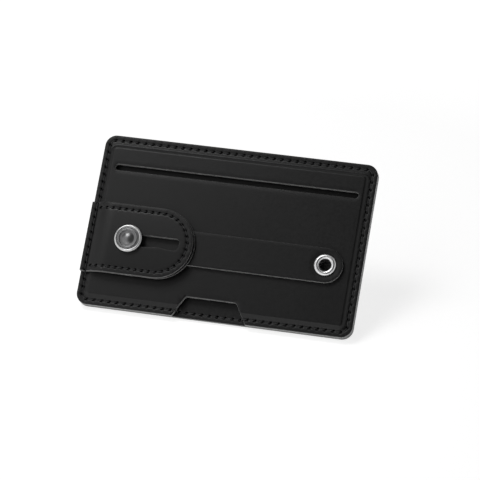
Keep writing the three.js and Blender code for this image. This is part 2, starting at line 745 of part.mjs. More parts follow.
// The washer in the strap's underside.
function buttonWasher() {
  const inner = BUTTON_SHANK_DIAMETER / 2 + HOLE_CLEARANCE;
  return ring(inner, BUTTON_WASHER_DIAMETER / 2, washerBottom, washerTop);
}

// Materials, each made anew so that every piece has its own
const blackLeather = () => new THREE.MeshStandardMaterial({ color: 0x1f1f20, roughness: 0.62, metalness: 0 });
const liningLeather = () => new THREE.MeshStandardMaterial({ color: 0x2a2a2b, roughness: 0.75, metalness: 0 });
const blackThread = () => new THREE.MeshStandardMaterial({ color: 0x0d0d0e, roughness: 0.8, metalness: 0 });
const nickel = () => new THREE.MeshStandardMaterial({ color: 0xc9c9cb, roughness: 0.28, metalness: 1 });
const foamPad = () => new THREE.MeshStandardMaterial({ color: 0xd9d9d6, roughness: 0.9, metalness: 0 });
const linerPaper = () => new THREE.MeshStandardMaterial({ color: 0xefeeea, roughness: 0.45, metalness: 0 });

// Assembly

// A named piece in a group.
function place(parent, name, geometry, material) {
  const mesh = new THREE.Mesh(geometry, material);
  mesh.name = name;
  parent.add(mesh);
}

const group = new THREE.Group();
place(group, "release_liner", releaseLiner(), linerPaper());
place(group, "adhesive_pad", adhesivePad(), foamPad());
place(group, "back_panel", backPanel(), liningLeather());
place(group, "front_panel", frontPanel(), blackLeather());
place(group, "strap", strap(), blackLeather());
place(group, "tab_lining", tabLining(), liningLeather());
place(group, "tab_face", tabFace(), blackLeather());
place(group, "perimeter_thread", faceThread(), blackThread());
place(group, "perimeter_back_thread", backThread(), blackThread());
place(group, "tab_thread", tabThread(), blackThread());

const eyeletGroup = new THREE.Group();
eyeletGroup.position.set(eyeletX, FASTENING_LINE_Y, strapTop);
place(eyeletGroup, "eyelet", eyelet(), nickel());
place(eyeletGroup, "eyelet_washer", eyeletWasher(), nickel());
group.add(eyeletGroup);

const buttonGroup = new THREE.Group();
buttonGroup.position.set(buttonX, FASTENING_LINE_Y, 0);
place(buttonGroup, "button_cap", buttonCap(), nickel());
place(buttonGroup, "button_rivet", buttonRivet(), nickel());
place(buttonGroup, "button_collar", buttonCollar(), nickel());
place(buttonGroup, "button_washer", buttonWasher(), nickel());
group.add(buttonGroup);

export default group;
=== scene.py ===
"""Looks of a stick-on phone card holder in smooth black leather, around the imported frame.

The leather sheets are plan outlines filled with a constrained triangulation and given their
height by a function of x and y. Threads are round sections carried along the seams, and the
metal pieces are profiles turned about their axes. Lengths are in millimetres until a mesh is
made, where MM turns them into metres.
"""

import bpy
import numpy as np
from mathutils import Matrix, Vector
from mathutils.geometry import delaunay_2d_cdt


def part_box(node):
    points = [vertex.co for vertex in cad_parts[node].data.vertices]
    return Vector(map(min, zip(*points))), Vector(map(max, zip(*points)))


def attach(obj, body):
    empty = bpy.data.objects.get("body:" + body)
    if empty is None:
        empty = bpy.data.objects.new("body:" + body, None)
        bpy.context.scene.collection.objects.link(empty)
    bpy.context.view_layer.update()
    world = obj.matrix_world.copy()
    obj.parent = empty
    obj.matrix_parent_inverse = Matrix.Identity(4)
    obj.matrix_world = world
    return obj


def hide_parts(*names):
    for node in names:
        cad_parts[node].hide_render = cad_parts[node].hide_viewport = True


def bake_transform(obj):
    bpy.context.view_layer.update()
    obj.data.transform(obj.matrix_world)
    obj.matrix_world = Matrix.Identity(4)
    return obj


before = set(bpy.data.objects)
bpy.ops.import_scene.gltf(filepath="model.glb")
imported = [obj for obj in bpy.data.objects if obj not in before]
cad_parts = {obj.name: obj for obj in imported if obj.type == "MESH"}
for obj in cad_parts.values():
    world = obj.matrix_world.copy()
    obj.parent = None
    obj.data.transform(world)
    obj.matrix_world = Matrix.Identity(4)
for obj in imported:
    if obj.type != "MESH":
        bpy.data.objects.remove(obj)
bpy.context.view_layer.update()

MM = 0.001


# Sizes taken from the frame

def node_box(name):
    """Lowest and highest corner of a node, in millimetres."""
    low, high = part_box(name)
    return np.array(low) / MM, np.array(high) / MM


back_low, back_high = node_box("back_panel")
_, front_high = node_box("front_panel")
strap_low, strap_high = node_box("strap")
lining_low, lining_high = node_box("tab_lining")
_, face_high = node_box("tab_face")
eyelet_low, eyelet_high = node_box("eyelet")
eyelet_washer_low, eyelet_washer_high = node_box("eyelet_washer")
cap_low, cap_high = node_box("button_cap")
rivet_low, rivet_high = node_box("button_rivet")

HALF_WIDTH = back_high[0]
HALF_HEIGHT = back_high[1]
BACK_BOTTOM = back_low[2]
BACK_TOP = back_high[2]
FLANGE_TOP = lining_low[2]
PLATEAU_TOP = front_high[2]
POCKET_TOP = eyelet_washer_high[2]
STRAP_TOP = strap_high[2]
TAB_TOP = face_high[2]
AXIS_Y = (strap_low[1] + strap_high[1]) / 2
STRAP_HALF = (strap_high[1] - strap_low[1]) / 2
EYELET_X = (eyelet_low[0] + eyelet_high[0]) / 2
BUTTON_X = (cap_low[0] + cap_high[0]) / 2
TAB_HALF = (lining_high[1] - lining_low[1]) / 2
TAB_LINING_END = lining_high[0]
TAB_FACE_END = face_high[0]
RAISE = PLATEAU_TOP - FLANGE_TOP

# Sizes that the frame's boxes don't give

CORNER_RADIUS = 4.0
EDGE_ROUND = 0.3
SEAM_INSET = 1.9
STITCH = 2.75
TAB_STITCH = 2.4
SHOULDER_INSET = 2.3
SHOULDER_TOP_INSET = 3.2
SHOULDER_RUN = 1.8
POCKET_RUN = 0.7
POCKET_CORNER = 2.6
SLOT_WIDTH = 2.2
SLOT_END_MARGIN = 1.3
SLOT_BELOW_TOP = 11.7
SLOT_HALF_LENGTH = HALF_WIDTH - SHOULDER_INSET - SHOULDER_RUN - SLOT_END_MARGIN
SLOT_Y = HALF_HEIGHT - SLOT_BELOW_TOP
NEARLY_ROUND = 0.98
NOTCH_X = -1.2
NOTCH_TOP_HALF = 8.95
NOTCH_MOUTH_HALF = 13.05
NOTCH_HEIGHT = 7.1
NOTCH_ROUND = 0.8
BARREL_HOLE = 2.65
SHANK_HOLE = 1.1
TAB_LINING_THICKNESS = 0.9
TAB_STRAP_GAP = 0.25
TAB_EDGE_DROOP = 0.35
TAB_RISE_POWER = 2.5
TAB_SLOT_HALF = 2.15
TAB_FOOT_RUN = 0.35
TAB_LAYER_GAP = 0.03
TAB_THICKNESS = TAB_TOP - (STRAP_TOP + TAB_STRAP_GAP)
TAB_SLOT_END_MARGIN = 4.8
TAB_SLOT_END = TAB_FACE_END - TAB_SLOT_END_MARGIN
TAB_SLOT_SQUARE = 8
TAB_SLOT_CORNER = 1.3
NIB_HEIGHT = 0.45
NIB_SPREAD = 4.2
NIB_X = (BUTTON_X + TAB_SLOT_END) / 2 + NIB_SPREAD / 2
THREAD_RADIUS = 0.2


# Plane geometry

def smooth_step(value, start, end):
    """Slow start and slow end: 3t^2 - 2t^3 with t the share of the way from start to end."""
    t = np.clip((value - start) / (end - start), 0, 1)
    return t * t * (3 - 2 * t)


def straight(start, end, step):
    """Points from start up to, and without, end."""
    start, end = np.array(start, float), np.array(end, float)
    count = max(1, int(np.ceil(np.linalg.norm(end - start) / step)))
    t = np.arange(count)[:, None] / count
    return start + (end - start) * t


def arc(centre, radius, start, end, step):
    """Points of an arc between two angles in degrees, without its last point."""
    a0, a1 = np.radians(start), np.radians(end)
    count = max(3, int(np.ceil(abs(a1 - a0) * radius / step)))
    angle = a0 + (a1 - a0) * np.arange(count) / count
    return np.array(centre) + radius * np.stack([np.cos(angle), np.sin(angle)], 1)


def rounded_box_distance(x, y, low, high, radius):
    """Distance outside a rounded rectangle: the corner circle's distance, negative inside."""
    qx = np.abs(x - (low[0] + high[0]) / 2) - (high[0] - low[0]) / 2 + radius
    qy = np.abs(y - (low[1] + high[1]) / 2) - (high[1] - low[1]) / 2 + radius
    return np.hypot(np.maximum(qx, 0), np.maximum(qy, 0)) + np.minimum(np.maximum(qx, qy), 0) - radius


def holder_distance(x, y):
    """Distance outside the holder's outline."""
    corner = np.array([HALF_WIDTH, HALF_HEIGHT])
    return rounded_box_distance(x, y, -corner, corner, CORNER_RADIUS)


def slot_distance(x, y):
    """Distance outside the card slot, a long box with round ends."""
    half = np.array([SLOT_HALF_LENGTH, SLOT_WIDTH / 2])
    centre = np.array([0.0, SLOT_Y])
    return rounded_box_distance(x, y, centre - half, centre + half, SLOT_WIDTH / 2 * NEARLY_ROUND)


def notch_distance(x, y):
    """Distance outside the thumb notch: the larger of its top's and its flank's distance."""
    slope = (NOTCH_MOUTH_HALF - NOTCH_TOP_HALF) / NOTCH_HEIGHT
    above = y + HALF_HEIGHT - NOTCH_HEIGHT
    beside = (np.abs(x - NOTCH_X) - NOTCH_TOP_HALF + slope * above) / np.hypot(1, slope)
    a, b = above + NOTCH_ROUND, beside + NOTCH_ROUND
    return np.hypot(np.maximum(a, 0), np.maximum(b, 0)) + np.minimum(np.maximum(a, b), 0) - NOTCH_ROUND


def circle_distance(x, y, centre_x, centre_y, radius):
    """Distance outside a circle."""
    return np.hypot(x - centre_x, y - centre_y) - radius


def strap_distance(x, y):
    """Distance outside the strap, a stadium from the button to the eyelet."""
    along = np.clip(x, BUTTON_X, EYELET_X)
    return np.hypot(x - along, y - AXIS_Y) - STRAP_HALF


def tab_distance(x, y, end):
    """Distance outside the tab: a box up to its round end's centre, then a half circle."""
    along = np.minimum(x, end - TAB_HALF)
    round_end = np.hypot(x - along, y - AXIS_Y) - TAB_HALF
    return np.maximum(round_end, -HALF_WIDTH - x)


def nib_rise(x):
    """How far the nib stands up from the tab slot's lower lip."""
    lead = smooth_step(x, NIB_X - NIB_SPREAD, NIB_X)
    fall = smooth_step(x, NIB_X, NIB_X + NIB_SPREAD / 2)
    return NIB_HEIGHT * (lead - fall)


def tab_slot_distance(x, y):
    """Distance outside the tab's slot: round at the button, squarer at its end, with the nib."""
    low = np.array([TAB_SLOT_END - TAB_SLOT_SQUARE, AXIS_Y - TAB_SLOT_HALF])
    high = np.array([TAB_SLOT_END, AXIS_Y + TAB_SLOT_HALF])
    lifted = np.where(y < AXIS_Y, y - nib_rise(x), y)
    square = rounded_box_distance(x, lifted, low, high, TAB_SLOT_CORNER)
    along = np.clip(x, BUTTON_X, TAB_SLOT_END - TAB_SLOT_SQUARE / 2)
    stadium = np.hypot(x - along, lifted - AXIS_Y) - TAB_SLOT_HALF
    return np.minimum(square, stadium)


# Outlines, counter-clockwise round leather and clockwise or not round holes

BOUNDARY_STEP = 0.3
SEAM_STEP = 0.1
NOTCH_CORNER_STEPS = 5


def rounded_outline(low, high, radius, step=BOUNDARY_STEP):
    """A whole rounded rectangle."""
    (x0, y0), (x1, y1) = low, high
    r = radius
    return np.concatenate([
        straight((x0 + r, y0), (x1 - r, y0), step),
        arc((x1 - r, y0 + r), r, -90, 0, step),
        straight((x1, y0 + r), (x1, y1 - r), step),
        arc((x1 - r, y1 - r), r, 0, 90, step),
        straight((x1 - r, y1), (x0 + r, y1), step),
        arc((x0 + r, y1 - r), r, 90, 180, step),
        straight((x0, y1 - r), (x0, y0 + r), step),
        arc((x0 + r, y0 + r), r, 180, 270, step),
    ])


def holder_outline():
    """The holder's outline."""
    return rounded_outline((-HALF_WIDTH, -HALF_HEIGHT), (HALF_WIDTH, HALF_HEIGHT), CORNER_RADIUS)


def notched_outline():
    """The holder's outline with the thumb notch cut in its lower side."""
    step = BOUNDARY_STEP
    w, h, r = HALF_WIDTH, HALF_HEIGHT, CORNER_RADIUS
    top = NOTCH_HEIGHT - h
    slope = (NOTCH_MOUTH_HALF - NOTCH_TOP_HALF) / NOTCH_HEIGHT
    side = NOTCH_TOP_HALF + slope * NOTCH_ROUND
    roof = NOTCH_TOP_HALF - NOTCH_ROUND
    corner = np.array([[side, top - NOTCH_ROUND], [NOTCH_TOP_HALF, top], [roof, top]])
    t = np.linspace(0, 1, NOTCH_CORNER_STEPS + 1)[:-1, None]
    bend = (1 - t) ** 2 * corner[0] + 2 * t * (1 - t) * corner[1] + t**2 * corner[2]
    right = bend + [NOTCH_X, 0]
    left = (bend * [-1, 1] + [NOTCH_X, 0])[::-1]
    return np.concatenate([
        straight((NOTCH_X + NOTCH_MOUTH_HALF, -h), (w - r, -h), step),
        arc((w - r, r - h), r, -90, 0, step),
        straight((w, r - h), (w, h - r), step),
        arc((w - r, h - r), r, 0, 90, step),
        straight((w - r, h), (r - w, h), step),
        arc((r - w, h - r), r, 90, 180, step),
        straight((-w, h - r), (-w, r - h), step),
        arc((r - w, r - h), r, 180, 270, step),
        straight((r - w, -h), (NOTCH_X - NOTCH_MOUTH_HALF, -h), step),
        straight((NOTCH_X - NOTCH_MOUTH_HALF, -h), (NOTCH_X - side, top - NOTCH_ROUND), step),
        left,
        straight((NOTCH_X - roof, top), (NOTCH_X + roof, top), step),
        right[::-1],
        straight((NOTCH_X + side, top - NOTCH_ROUND), (NOTCH_X + NOTCH_MOUTH_HALF, -h), step),
    ])


def slot_outline():
    """The card slot's outline."""
    low = (-SLOT_HALF_LENGTH, SLOT_Y - SLOT_WIDTH / 2)
    high = (SLOT_HALF_LENGTH, SLOT_Y + SLOT_WIDTH / 2)
    return rounded_outline(low, high, SLOT_WIDTH / 2 * NEARLY_ROUND)


def circle_outline(x, y, radius):
    """A circle."""
    return arc((x, y), radius, 0, 360, BOUNDARY_STEP)


def strap_outline():
    """The strap's outline."""
    return np.concatenate([
        straight((BUTTON_X, AXIS_Y - STRAP_HALF), (EYELET_X, AXIS_Y - STRAP_HALF), BOUNDARY_STEP),
        arc((EYELET_X, AXIS_Y), STRAP_HALF, -90, 90, BOUNDARY_STEP),
        straight((EYELET_X, AXIS_Y + STRAP_HALF), (BUTTON_X, AXIS_Y + STRAP_HALF), BOUNDARY_STEP),
        arc((BUTTON_X, AXIS_Y), STRAP_HALF, 90, 270, BOUNDARY_STEP),
    ])


def tab_outline(end):
    """The tab's outline up to its round end."""
    centre = end - TAB_HALF
    low, high = AXIS_Y - TAB_HALF, AXIS_Y + TAB_HALF
    return np.concatenate([
        straight((-HALF_WIDTH, low), (centre, low), BOUNDARY_STEP),
        arc((centre, AXIS_Y), TAB_HALF, -90, 90, BOUNDARY_STEP),
        straight((centre, high), (-HALF_WIDTH, high), BOUNDARY_STEP),
        straight((-HALF_WIDTH, high), (-HALF_WIDTH, low), BOUNDARY_STEP),
    ])


def tab_slot_outline():
    """The tab slot's outline, with the nib in its lower lip."""
    half, corner, step = TAB_SLOT_HALF, TAB_SLOT_CORNER, BOUNDARY_STEP
    lower = straight((BUTTON_X, AXIS_Y - half), (TAB_SLOT_END - corner, AXIS_Y - half), step)
    lower[:, 1] += nib_rise(lower[:, 0])
    return np.concatenate([
        lower,
        arc((TAB_SLOT_END - corner, AXIS_Y - half + corner), corner, -90, 0, step),
        straight((TAB_SLOT_END, AXIS_Y - half + corner), (TAB_SLOT_END, AXIS_Y + half - corner), step),
        arc((TAB_SLOT_END - corner, AXIS_Y + half - corner), corner, 0, 90, step),
        straight((TAB_SLOT_END - corner, AXIS_Y + half), (BUTTON_X, AXIS_Y + half), step),
        arc((BUTTON_X, AXIS_Y), half, 90, 270, step),
    ])


# Seams

HOLE_SLANT = 32
HOLE_LONG = 0.58
HOLE_SHORT = 0.38
HOLE_DEPTH = 0.8
FURROW_WIDTH = 0.42
FURROW_DEPTH = 0.12


class Seam:
    """A line of stitches: points by length along it, the holes at even lengths, and a function
    for the distance from the line."""

    def __init__(self, corners, stitch, closed, off_line):
        self.points = np.concatenate([corners, corners[:1]]) if closed else corners
        gaps = np.linalg.norm(np.diff(self.points, axis=0), axis=1)
        self.lengths = np.concatenate([[0], np.cumsum(gaps)])
        self.total = self.lengths[-1]
        self.count = round(self.total / stitch)
        self.stitch = self.total / self.count
        self.closed = closed
        self.off_line = off_line
        holes = np.arange(self.count + (0 if closed else 1)) * self.stitch
        self.holes = self.at(holes)
        across = self.across(holes)
        slant = np.radians(HOLE_SLANT)
        along = np.stack([across[:, 1], -across[:, 0]], 1)
        self.slants = along * np.cos(slant) + across * np.sin(slant)

    def at(self, lengths):
        """Places at lengths along the line."""
        return np.stack([np.interp(lengths, self.lengths, self.points[:, i]) for i in (0, 1)], 1)

    def across(self, lengths):
        """Unit vectors to the left of the line at lengths along it."""
        step = 0.05
        ahead = self.at(np.clip(lengths + step, 0, self.total))
        behind = self.at(np.clip(lengths - step, 0, self.total))
        along = ahead - behind
        along /= np.linalg.norm(along, axis=1)[:, None]
        return np.stack([-along[:, 1], along[:, 0]], 1)


def perimeter_seam():
    """The seam round the holder."""
    corner = np.array([HALF_WIDTH, HALF_HEIGHT]) - SEAM_INSET
    radius = CORNER_RADIUS - SEAM_INSET

    def off_line(x, y):
        return np.abs(rounded_box_distance(x, y, -corner, corner, radius))

    return Seam(rounded_outline(-corner, corner, radius, SEAM_STEP), STITCH, True, off_line)


def tab_seam():
    """The tab's seam: along its upper side, round its end and back."""
    start = -HALF_WIDTH + 2 * SEAM_INSET
    centre = TAB_FACE_END - TAB_HALF
    reach = TAB_HALF - SEAM_INSET

    def off_line(x, y):
        beside = np.abs(np.hypot(x - np.minimum(x, centre), y - AXIS_Y) - reach)
        return np.hypot(beside, np.minimum(x - start, 0))

    return Seam(np.concatenate([
        straight((start, AXIS_Y + reach), (centre, AXIS_Y + reach), SEAM_STEP),
        arc((centre, AXIS_Y), reach, 90, -90, SEAM_STEP),
        straight((centre, AXIS_Y - reach), (start, AXIS_Y - reach), SEAM_STEP),
        [[start, AXIS_Y - reach]],
    ]), TAB_STITCH, False, off_line)


PERIMETER = perimeter_seam()
TAB_SEAM = tab_seam()


def nearest(points, places, chunk=2000):
    """The distance from each point to the nearest of some places, and which place that is."""
    found = np.empty(len(points))
    which = np.empty(len(points), int)
    for i in range(0, len(points), chunk):
        gap = ((points[i:i + chunk, None, :] - places[None, :, :]) ** 2).sum(2)
        which[i:i + chunk] = gap.argmin(1)
        found[i:i + chunk] = np.sqrt(gap.min(1))
    return found, which


def hole_share(x, y, seam):
    """1 in the middle of a stitch hole and 0 away from it: exp(-r^4), with r the distance in a
    slanted ellipse's own radii."""
    points = np.stack([x, y], 1)
    _, which = nearest(points, seam.holes)
    offset = points - seam.holes[which]
    slant = seam.slants[which]
    along = (offset * slant).sum(1) / HOLE_LONG
    beside = (offset[:, 0] * slant[:, 1] - offset[:, 1] * slant[:, 0]) / HOLE_SHORT
    return np.exp(-((along**2 + beside**2) ** 2))


def seam_press(x, y, seam):
    """How deep a seam pulls the leather in: a shallow furrow along it and a pit at each hole."""
    furrow = np.exp(-((seam.off_line(x, y) / FURROW_WIDTH) ** 2))
    return FURROW_DEPTH * furrow + HOLE_DEPTH * hole_share(x, y, seam)


# Meshes

EDGE_DEPTHS = 1 - np.cos(np.radians([22, 45, 68, 90]))
CUT_ROUND = 0.1
PROBE = 0.05
TRIANGLE_HEIGHT = 0.866
MERGE_DISTANCE = 1e-5
DETAIL_FROM_EDGE = 1.15
FILL_FROM_EDGE = 0.3
FILL_GAP = 0.45
DETAIL_GAP = 0.12
SHEET_SMOOTH_ANGLE = 35
PLY_SMOOTH_ANGLE = 60
TURNED_SMOOTH_ANGLE = 40


def mesh_object(name, vertices, faces, material, smooth_angle):
    """An object from vertices in millimetres and a list of face index arrays."""
    mesh = bpy.data.meshes.new(name)
    mesh.from_pydata((np.asarray(vertices) * MM).tolist(), [], [face.tolist() for face in faces])
    mesh.polygons.foreach_set("use_smooth", np.ones(len(mesh.polygons), bool))
    mesh.set_sharp_from_angle(angle=np.radians(smooth_angle))
    mesh.materials.append(material)
    mesh.update()
    piece = bpy.data.objects.new(name, mesh)
    bpy.context.scene.collection.objects.link(piece)
    return piece


def set_mask(piece, name, values):
    """A value for each vertex, which the piece's material reads."""
    layer = piece.data.attributes.new(name, "FLOAT", "POINT")
    layer.data.foreach_set("value", np.asarray(values, np.float32))


def edge_rings(loop, inside, depths, tolerance=0.02):
    """Copies of a loop moved into the leather by each depth, without the points that come too
    close to another edge."""
    ahead = np.roll(loop, -1, 0) - np.roll(loop, 1, 0)
    ahead /= np.linalg.norm(ahead, axis=1)[:, None]
    normal = np.stack([-ahead[:, 1], ahead[:, 0]], 1)
    probe = inside(*(loop + normal * PROBE).T)
    normal *= np.where(probe < 0, 1, -1)[:, None]
    rings = []
    for depth in depths:
        ring = loop + normal * depth
        rings.append(ring[np.abs(inside(*ring.T) + depth) < tolerance])
    return rings


def seam_points(seam, half_width=0.72, rows=9, spacing=0.2):
    """Points in rows along a seam, fine enough for its pits."""
    lengths = np.arange(0, seam.total, spacing)
    middle, across = seam.at(lengths), seam.across(lengths)
    offsets = np.linspace(-half_width, half_width, rows)
    return np.concatenate([middle + across * offset for offset in offsets])


def hexagon_points(low, high, spacing):
    """Points on a grid of triangles over a box."""
    xs = np.arange(low[0], high[0], spacing)
    ys = np.arange(low[1], high[1], spacing * TRIANGLE_HEIGHT)
    x, y = np.meshgrid(xs, ys)
    x = x + (np.arange(len(ys)) % 2)[:, None] * spacing / 2
    return np.stack([x.ravel(), y.ravel()], 1)


def thinned(points, others, gap):
    """The points that lie further than a gap from all others."""
    return points[nearest(points, others)[0] > gap]


def triangulated(loops, inner, inside):
    """Triangles over the region inside the loops, as points and index rows."""
    points = np.concatenate(loops + [inner])
    edges = []
    start = 0
    for loop in loops:
        count = len(loop)
        index = np.arange(count)
        edges += np.stack([start + index, start + (index + 1) % count], 1).tolist()
        start += count
    corners = [Vector(point) for point in points.tolist()]
    found, _, faces, *_ = delaunay_2d_cdt(corners, edges, [], 0, MERGE_DISTANCE)
    places = np.array([tuple(p) for p in found])
    faces = np.array([tuple(face) for face in faces])
    centre = places[faces].mean(1)
    return places, faces[inside(*centre.T) < 0]


def leather_sheet(name, loops, inside, top, bottom, material, detail=None, spacing=1.3,
                  under_spacing=2.5, seams=(), edge=EDGE_ROUND):
    """A sheet of leather over a plan region. Its two faces are heights over x and y, and near an
    edge each face falls away on a quarter circle: r - sqrt(r^2 - (r - d)^2) at a distance d."""
    loops = [loop.copy() for loop in loops]
    rim = np.concatenate(loops)

    def rounding(x, y):
        depth = np.clip(-inside(x, y), 0, edge)
        return edge - np.sqrt(np.maximum(edge**2 - (edge - depth) ** 2, 0))

    low, high = rim.min(0), rim.max(0)
    depths = edge * EDGE_DEPTHS
    rings = np.concatenate([ring for loop in loops for ring in edge_rings(loop, inside, depths)])
    fixed = rings
    if detail is not None:
        detail = detail[inside(*detail.T) < -edge * DETAIL_FROM_EDGE]
        fixed = np.concatenate([rings, detail])

    def face(spacing_now, held):
        fill = hexagon_points(low, high, spacing_now)
        fill = fill[inside(*fill.T) < -edge - spacing_now * FILL_FROM_EDGE]
        fill = thinned(fill, held, spacing_now * FILL_GAP)
        return triangulated(loops, np.concatenate([held, fill]), inside)

    upper, upper_faces = face(spacing, fixed)
    lower, lower_faces = face(under_spacing, rings)
    upper_z = top(*upper.T) - rounding(*upper.T)
    lower_z = bottom(*lower.T) + rounding(*lower.T)
    vertices = np.concatenate([
        np.column_stack([upper, upper_z]),
        np.column_stack([lower, lower_z]),
    ])
    count = len(upper)
    faces = [upper_faces, lower_faces[:, ::-1] + count]

    # The wall joins the two faces along the edges that only one triangle has.
    sides = np.concatenate([upper_faces[:, [0, 1]], upper_faces[:, [1, 2]], upper_faces[:, [2, 0]]])
    keys = {(a, b) for a, b in sides.tolist()}
    rim_sides = np.array([(a, b) for a, b in sides.tolist() if (b, a) not in keys])
    a, b = rim_sides.T
    wall = np.stack([a, a + count, b + count, b], 1)
    piece = mesh_object(name, vertices, [*faces[0], *faces[1], *wall], material, SHEET_SMOOTH_ANGLE)
    everywhere = np.concatenate([upper, lower])
    # A mask of 1 on the cut edge and the outer part of its rounding. There the material paints the
    # lightened fibre grey, which is partly the fibre's own colour and partly painted light.
    set_mask(piece, "cut_edge_light", np.clip(1 + inside(*everywhere.T) / edge, 0, 1))
    # The stitch-hole mask marks the holes on the face, which the material paints near black as painted
    # shade in the pits.
    pits = np.zeros(len(everywhere))
    for seam in seams:
        pits[:count] = np.maximum(pits[:count], hole_share(*upper.T, seam))
    set_mask(piece, "stitch_hole_shade", pits)
    return piece


def carried_section(centres, radius, sides, closed, twist):
    """A round section carried along a line of points. twist gives each point an offset across the
    line, as a strand wound round it has."""
    if closed:
        along = np.roll(centres, -1, 0) - np.roll(centres, 1, 0)
    else:
        along = np.gradient(centres, axis=0)
    along /= np.linalg.norm(along, axis=1)[:, None]
    side = np.cross([0, 0, 1.0], along)
    side /= np.linalg.norm(side, axis=1)[:, None]
    rise = np.cross(along, side)
    centres = centres + side * twist[:, :1] + rise * twist[:, 1:]
    angle = np.arange(sides) / sides * 2 * np.pi
    cosine, sine = np.cos(angle)[None, :, None], np.sin(angle)[None, :, None]
    ring = side[:, None] * cosine + rise[:, None] * sine
    vertices = (centres[:, None] + radius * ring).reshape(-1, 3)
    count = len(centres)
    i, j = np.meshgrid(np.arange(count if closed else count - 1), np.arange(sides), indexing="ij")
    here, there = i * sides, ((i + 1) % count) * sides
    after = (j + 1) % sides
    faces = np.stack([here + j, here + after, there + after, there + j], 2).reshape(-1, 4)
    caps = []
    if not closed:
        caps = [np.arange(sides)[::-1], np.arange(sides) + (count - 1) * sides]
    return vertices, [*faces, *caps]


def turned(name, centre, profile, material, sides):
    """A profile of radius and height turned about an upright axis. A profile that begins and ends
    on the axis closes there in a fan, and any other closes on itself."""
    profile = np.array(profile, float)
    on_axis = profile[0, 0] == 0 and profile[-1, 0] == 0
    body = profile[1:-1] if on_axis else profile
    angle = np.arange(sides) / sides * 2 * np.pi
    x = centre[0] + body[:, :1] * np.cos(angle)
    y = centre[1] + body[:, :1] * np.sin(angle)
    z = np.repeat(body[:, 1:], sides, 1)
    vertices = np.stack([x, y, z], 2).reshape(-1, 3)
    rows = len(body)
    i, j = np.meshgrid(np.arange(rows - 1 if on_axis else rows), np.arange(sides), indexing="ij")
    here, there = i * sides, ((i + 1) % rows) * sides
    after = (j + 1) % sides
    faces = [*np.stack([here + j, here + after, there + after, there + j], 2).reshape(-1, 4)]
    if on_axis:
        foot, crown = len(vertices), len(vertices) + 1
        poles = [[*centre, profile[0, 1]], [*centre, profile[-1, 1]]]
        vertices = np.concatenate([vertices, poles])
        ring = np.arange(sides)
        last = (rows - 1) * sides
        faces += [*np.stack([ring * 0 + foot, (ring + 1) % sides, ring], 1)]
        faces += [*np.stack([ring * 0 + crown, last + ring, last + (ring + 1) % sides], 1)]
    return mesh_object(name, vertices, faces, material, TURNED_SMOOTH_ANGLE)


def profile_arc(radius, height, size, start, end, steps, squash=1.0):
    """Points of an arc in a profile, between two angles in degrees."""
    angle = np.radians(np.linspace(start, end, steps))
    return [(radius + size * np.cos(a), height + size * squash * np.sin(a)) for a in angle]


# Materials

BLACK_DARK = (0.003, 0.003, 0.0031)
BLACK_LIGHT = (0.005, 0.005, 0.0051)
# Painted shade: the near black painted into the stitch holes.
HOLE_PAINTED_SHADE = (0.001, 0.001, 0.001)
# The cut edges' greys: partly the raw fibre's own grey and partly painted light, lightened beyond the fibre
# to stand for the light that the edges catch.
FACE_FIBRE_AND_EDGE_LIGHT = (0.46, 0.46, 0.455)
BACK_FIBRE_AND_EDGE_LIGHT = (0.40, 0.40, 0.395)
FIBRE_SHADE = 0.62
PEBBLES_PER_METRE = 2400
PEBBLE_SHARE = 0.55
# How the cut-edge mask ramps into the lightened grey, which is partly painted light.
EDGE_LIGHT_RAMP = (0.7, 1.0)
# How the stitch-hole mask ramps into the painted shade.
HOLE_SHADE_RAMP = (0.1, 0.6)
LEATHER_SHINE = 0.35
GRAIN_STRENGTH = 0.10
GRAIN_DEPTH = 0.0002
THREAD_DARK = (0.012, 0.012, 0.013)
THREAD_LIGHT = (0.03, 0.03, 0.032)
SATIN_TINT = (0.18, 0.18, 0.182)
BRIGHT_TINT = (0.74, 0.74, 0.745)
# Painted highlight: the paler tint painted on the cap's rolled rim.
RIM_HIGHLIGHT_TINT = (0.62, 0.62, 0.62)
PAPER_DARK = (0.74, 0.73, 0.69)
PAPER_LIGHT = (0.82, 0.81, 0.78)
FOAM_DARK = (0.5, 0.5, 0.48)
FOAM_LIGHT = (0.72, 0.72, 0.7)


def new_material(name):
    """An empty node material with its shader and output."""
    material = bpy.data.materials.new(name)
    material.use_nodes = True
    tree = material.node_tree
    return material, tree, tree.nodes["Principled BSDF"]


def link(tree, source, target):
    """Joins two sockets."""
    tree.links.new(source, target)


def add(tree, kind, **values):
    """A node with its properties and inputs set."""
    node = tree.nodes.new(kind)
    for key, value in values.items():
        if hasattr(node, key):
            setattr(node, key, value)
        else:
            node.inputs[key.replace("_", " ")].default_value = value
    return node


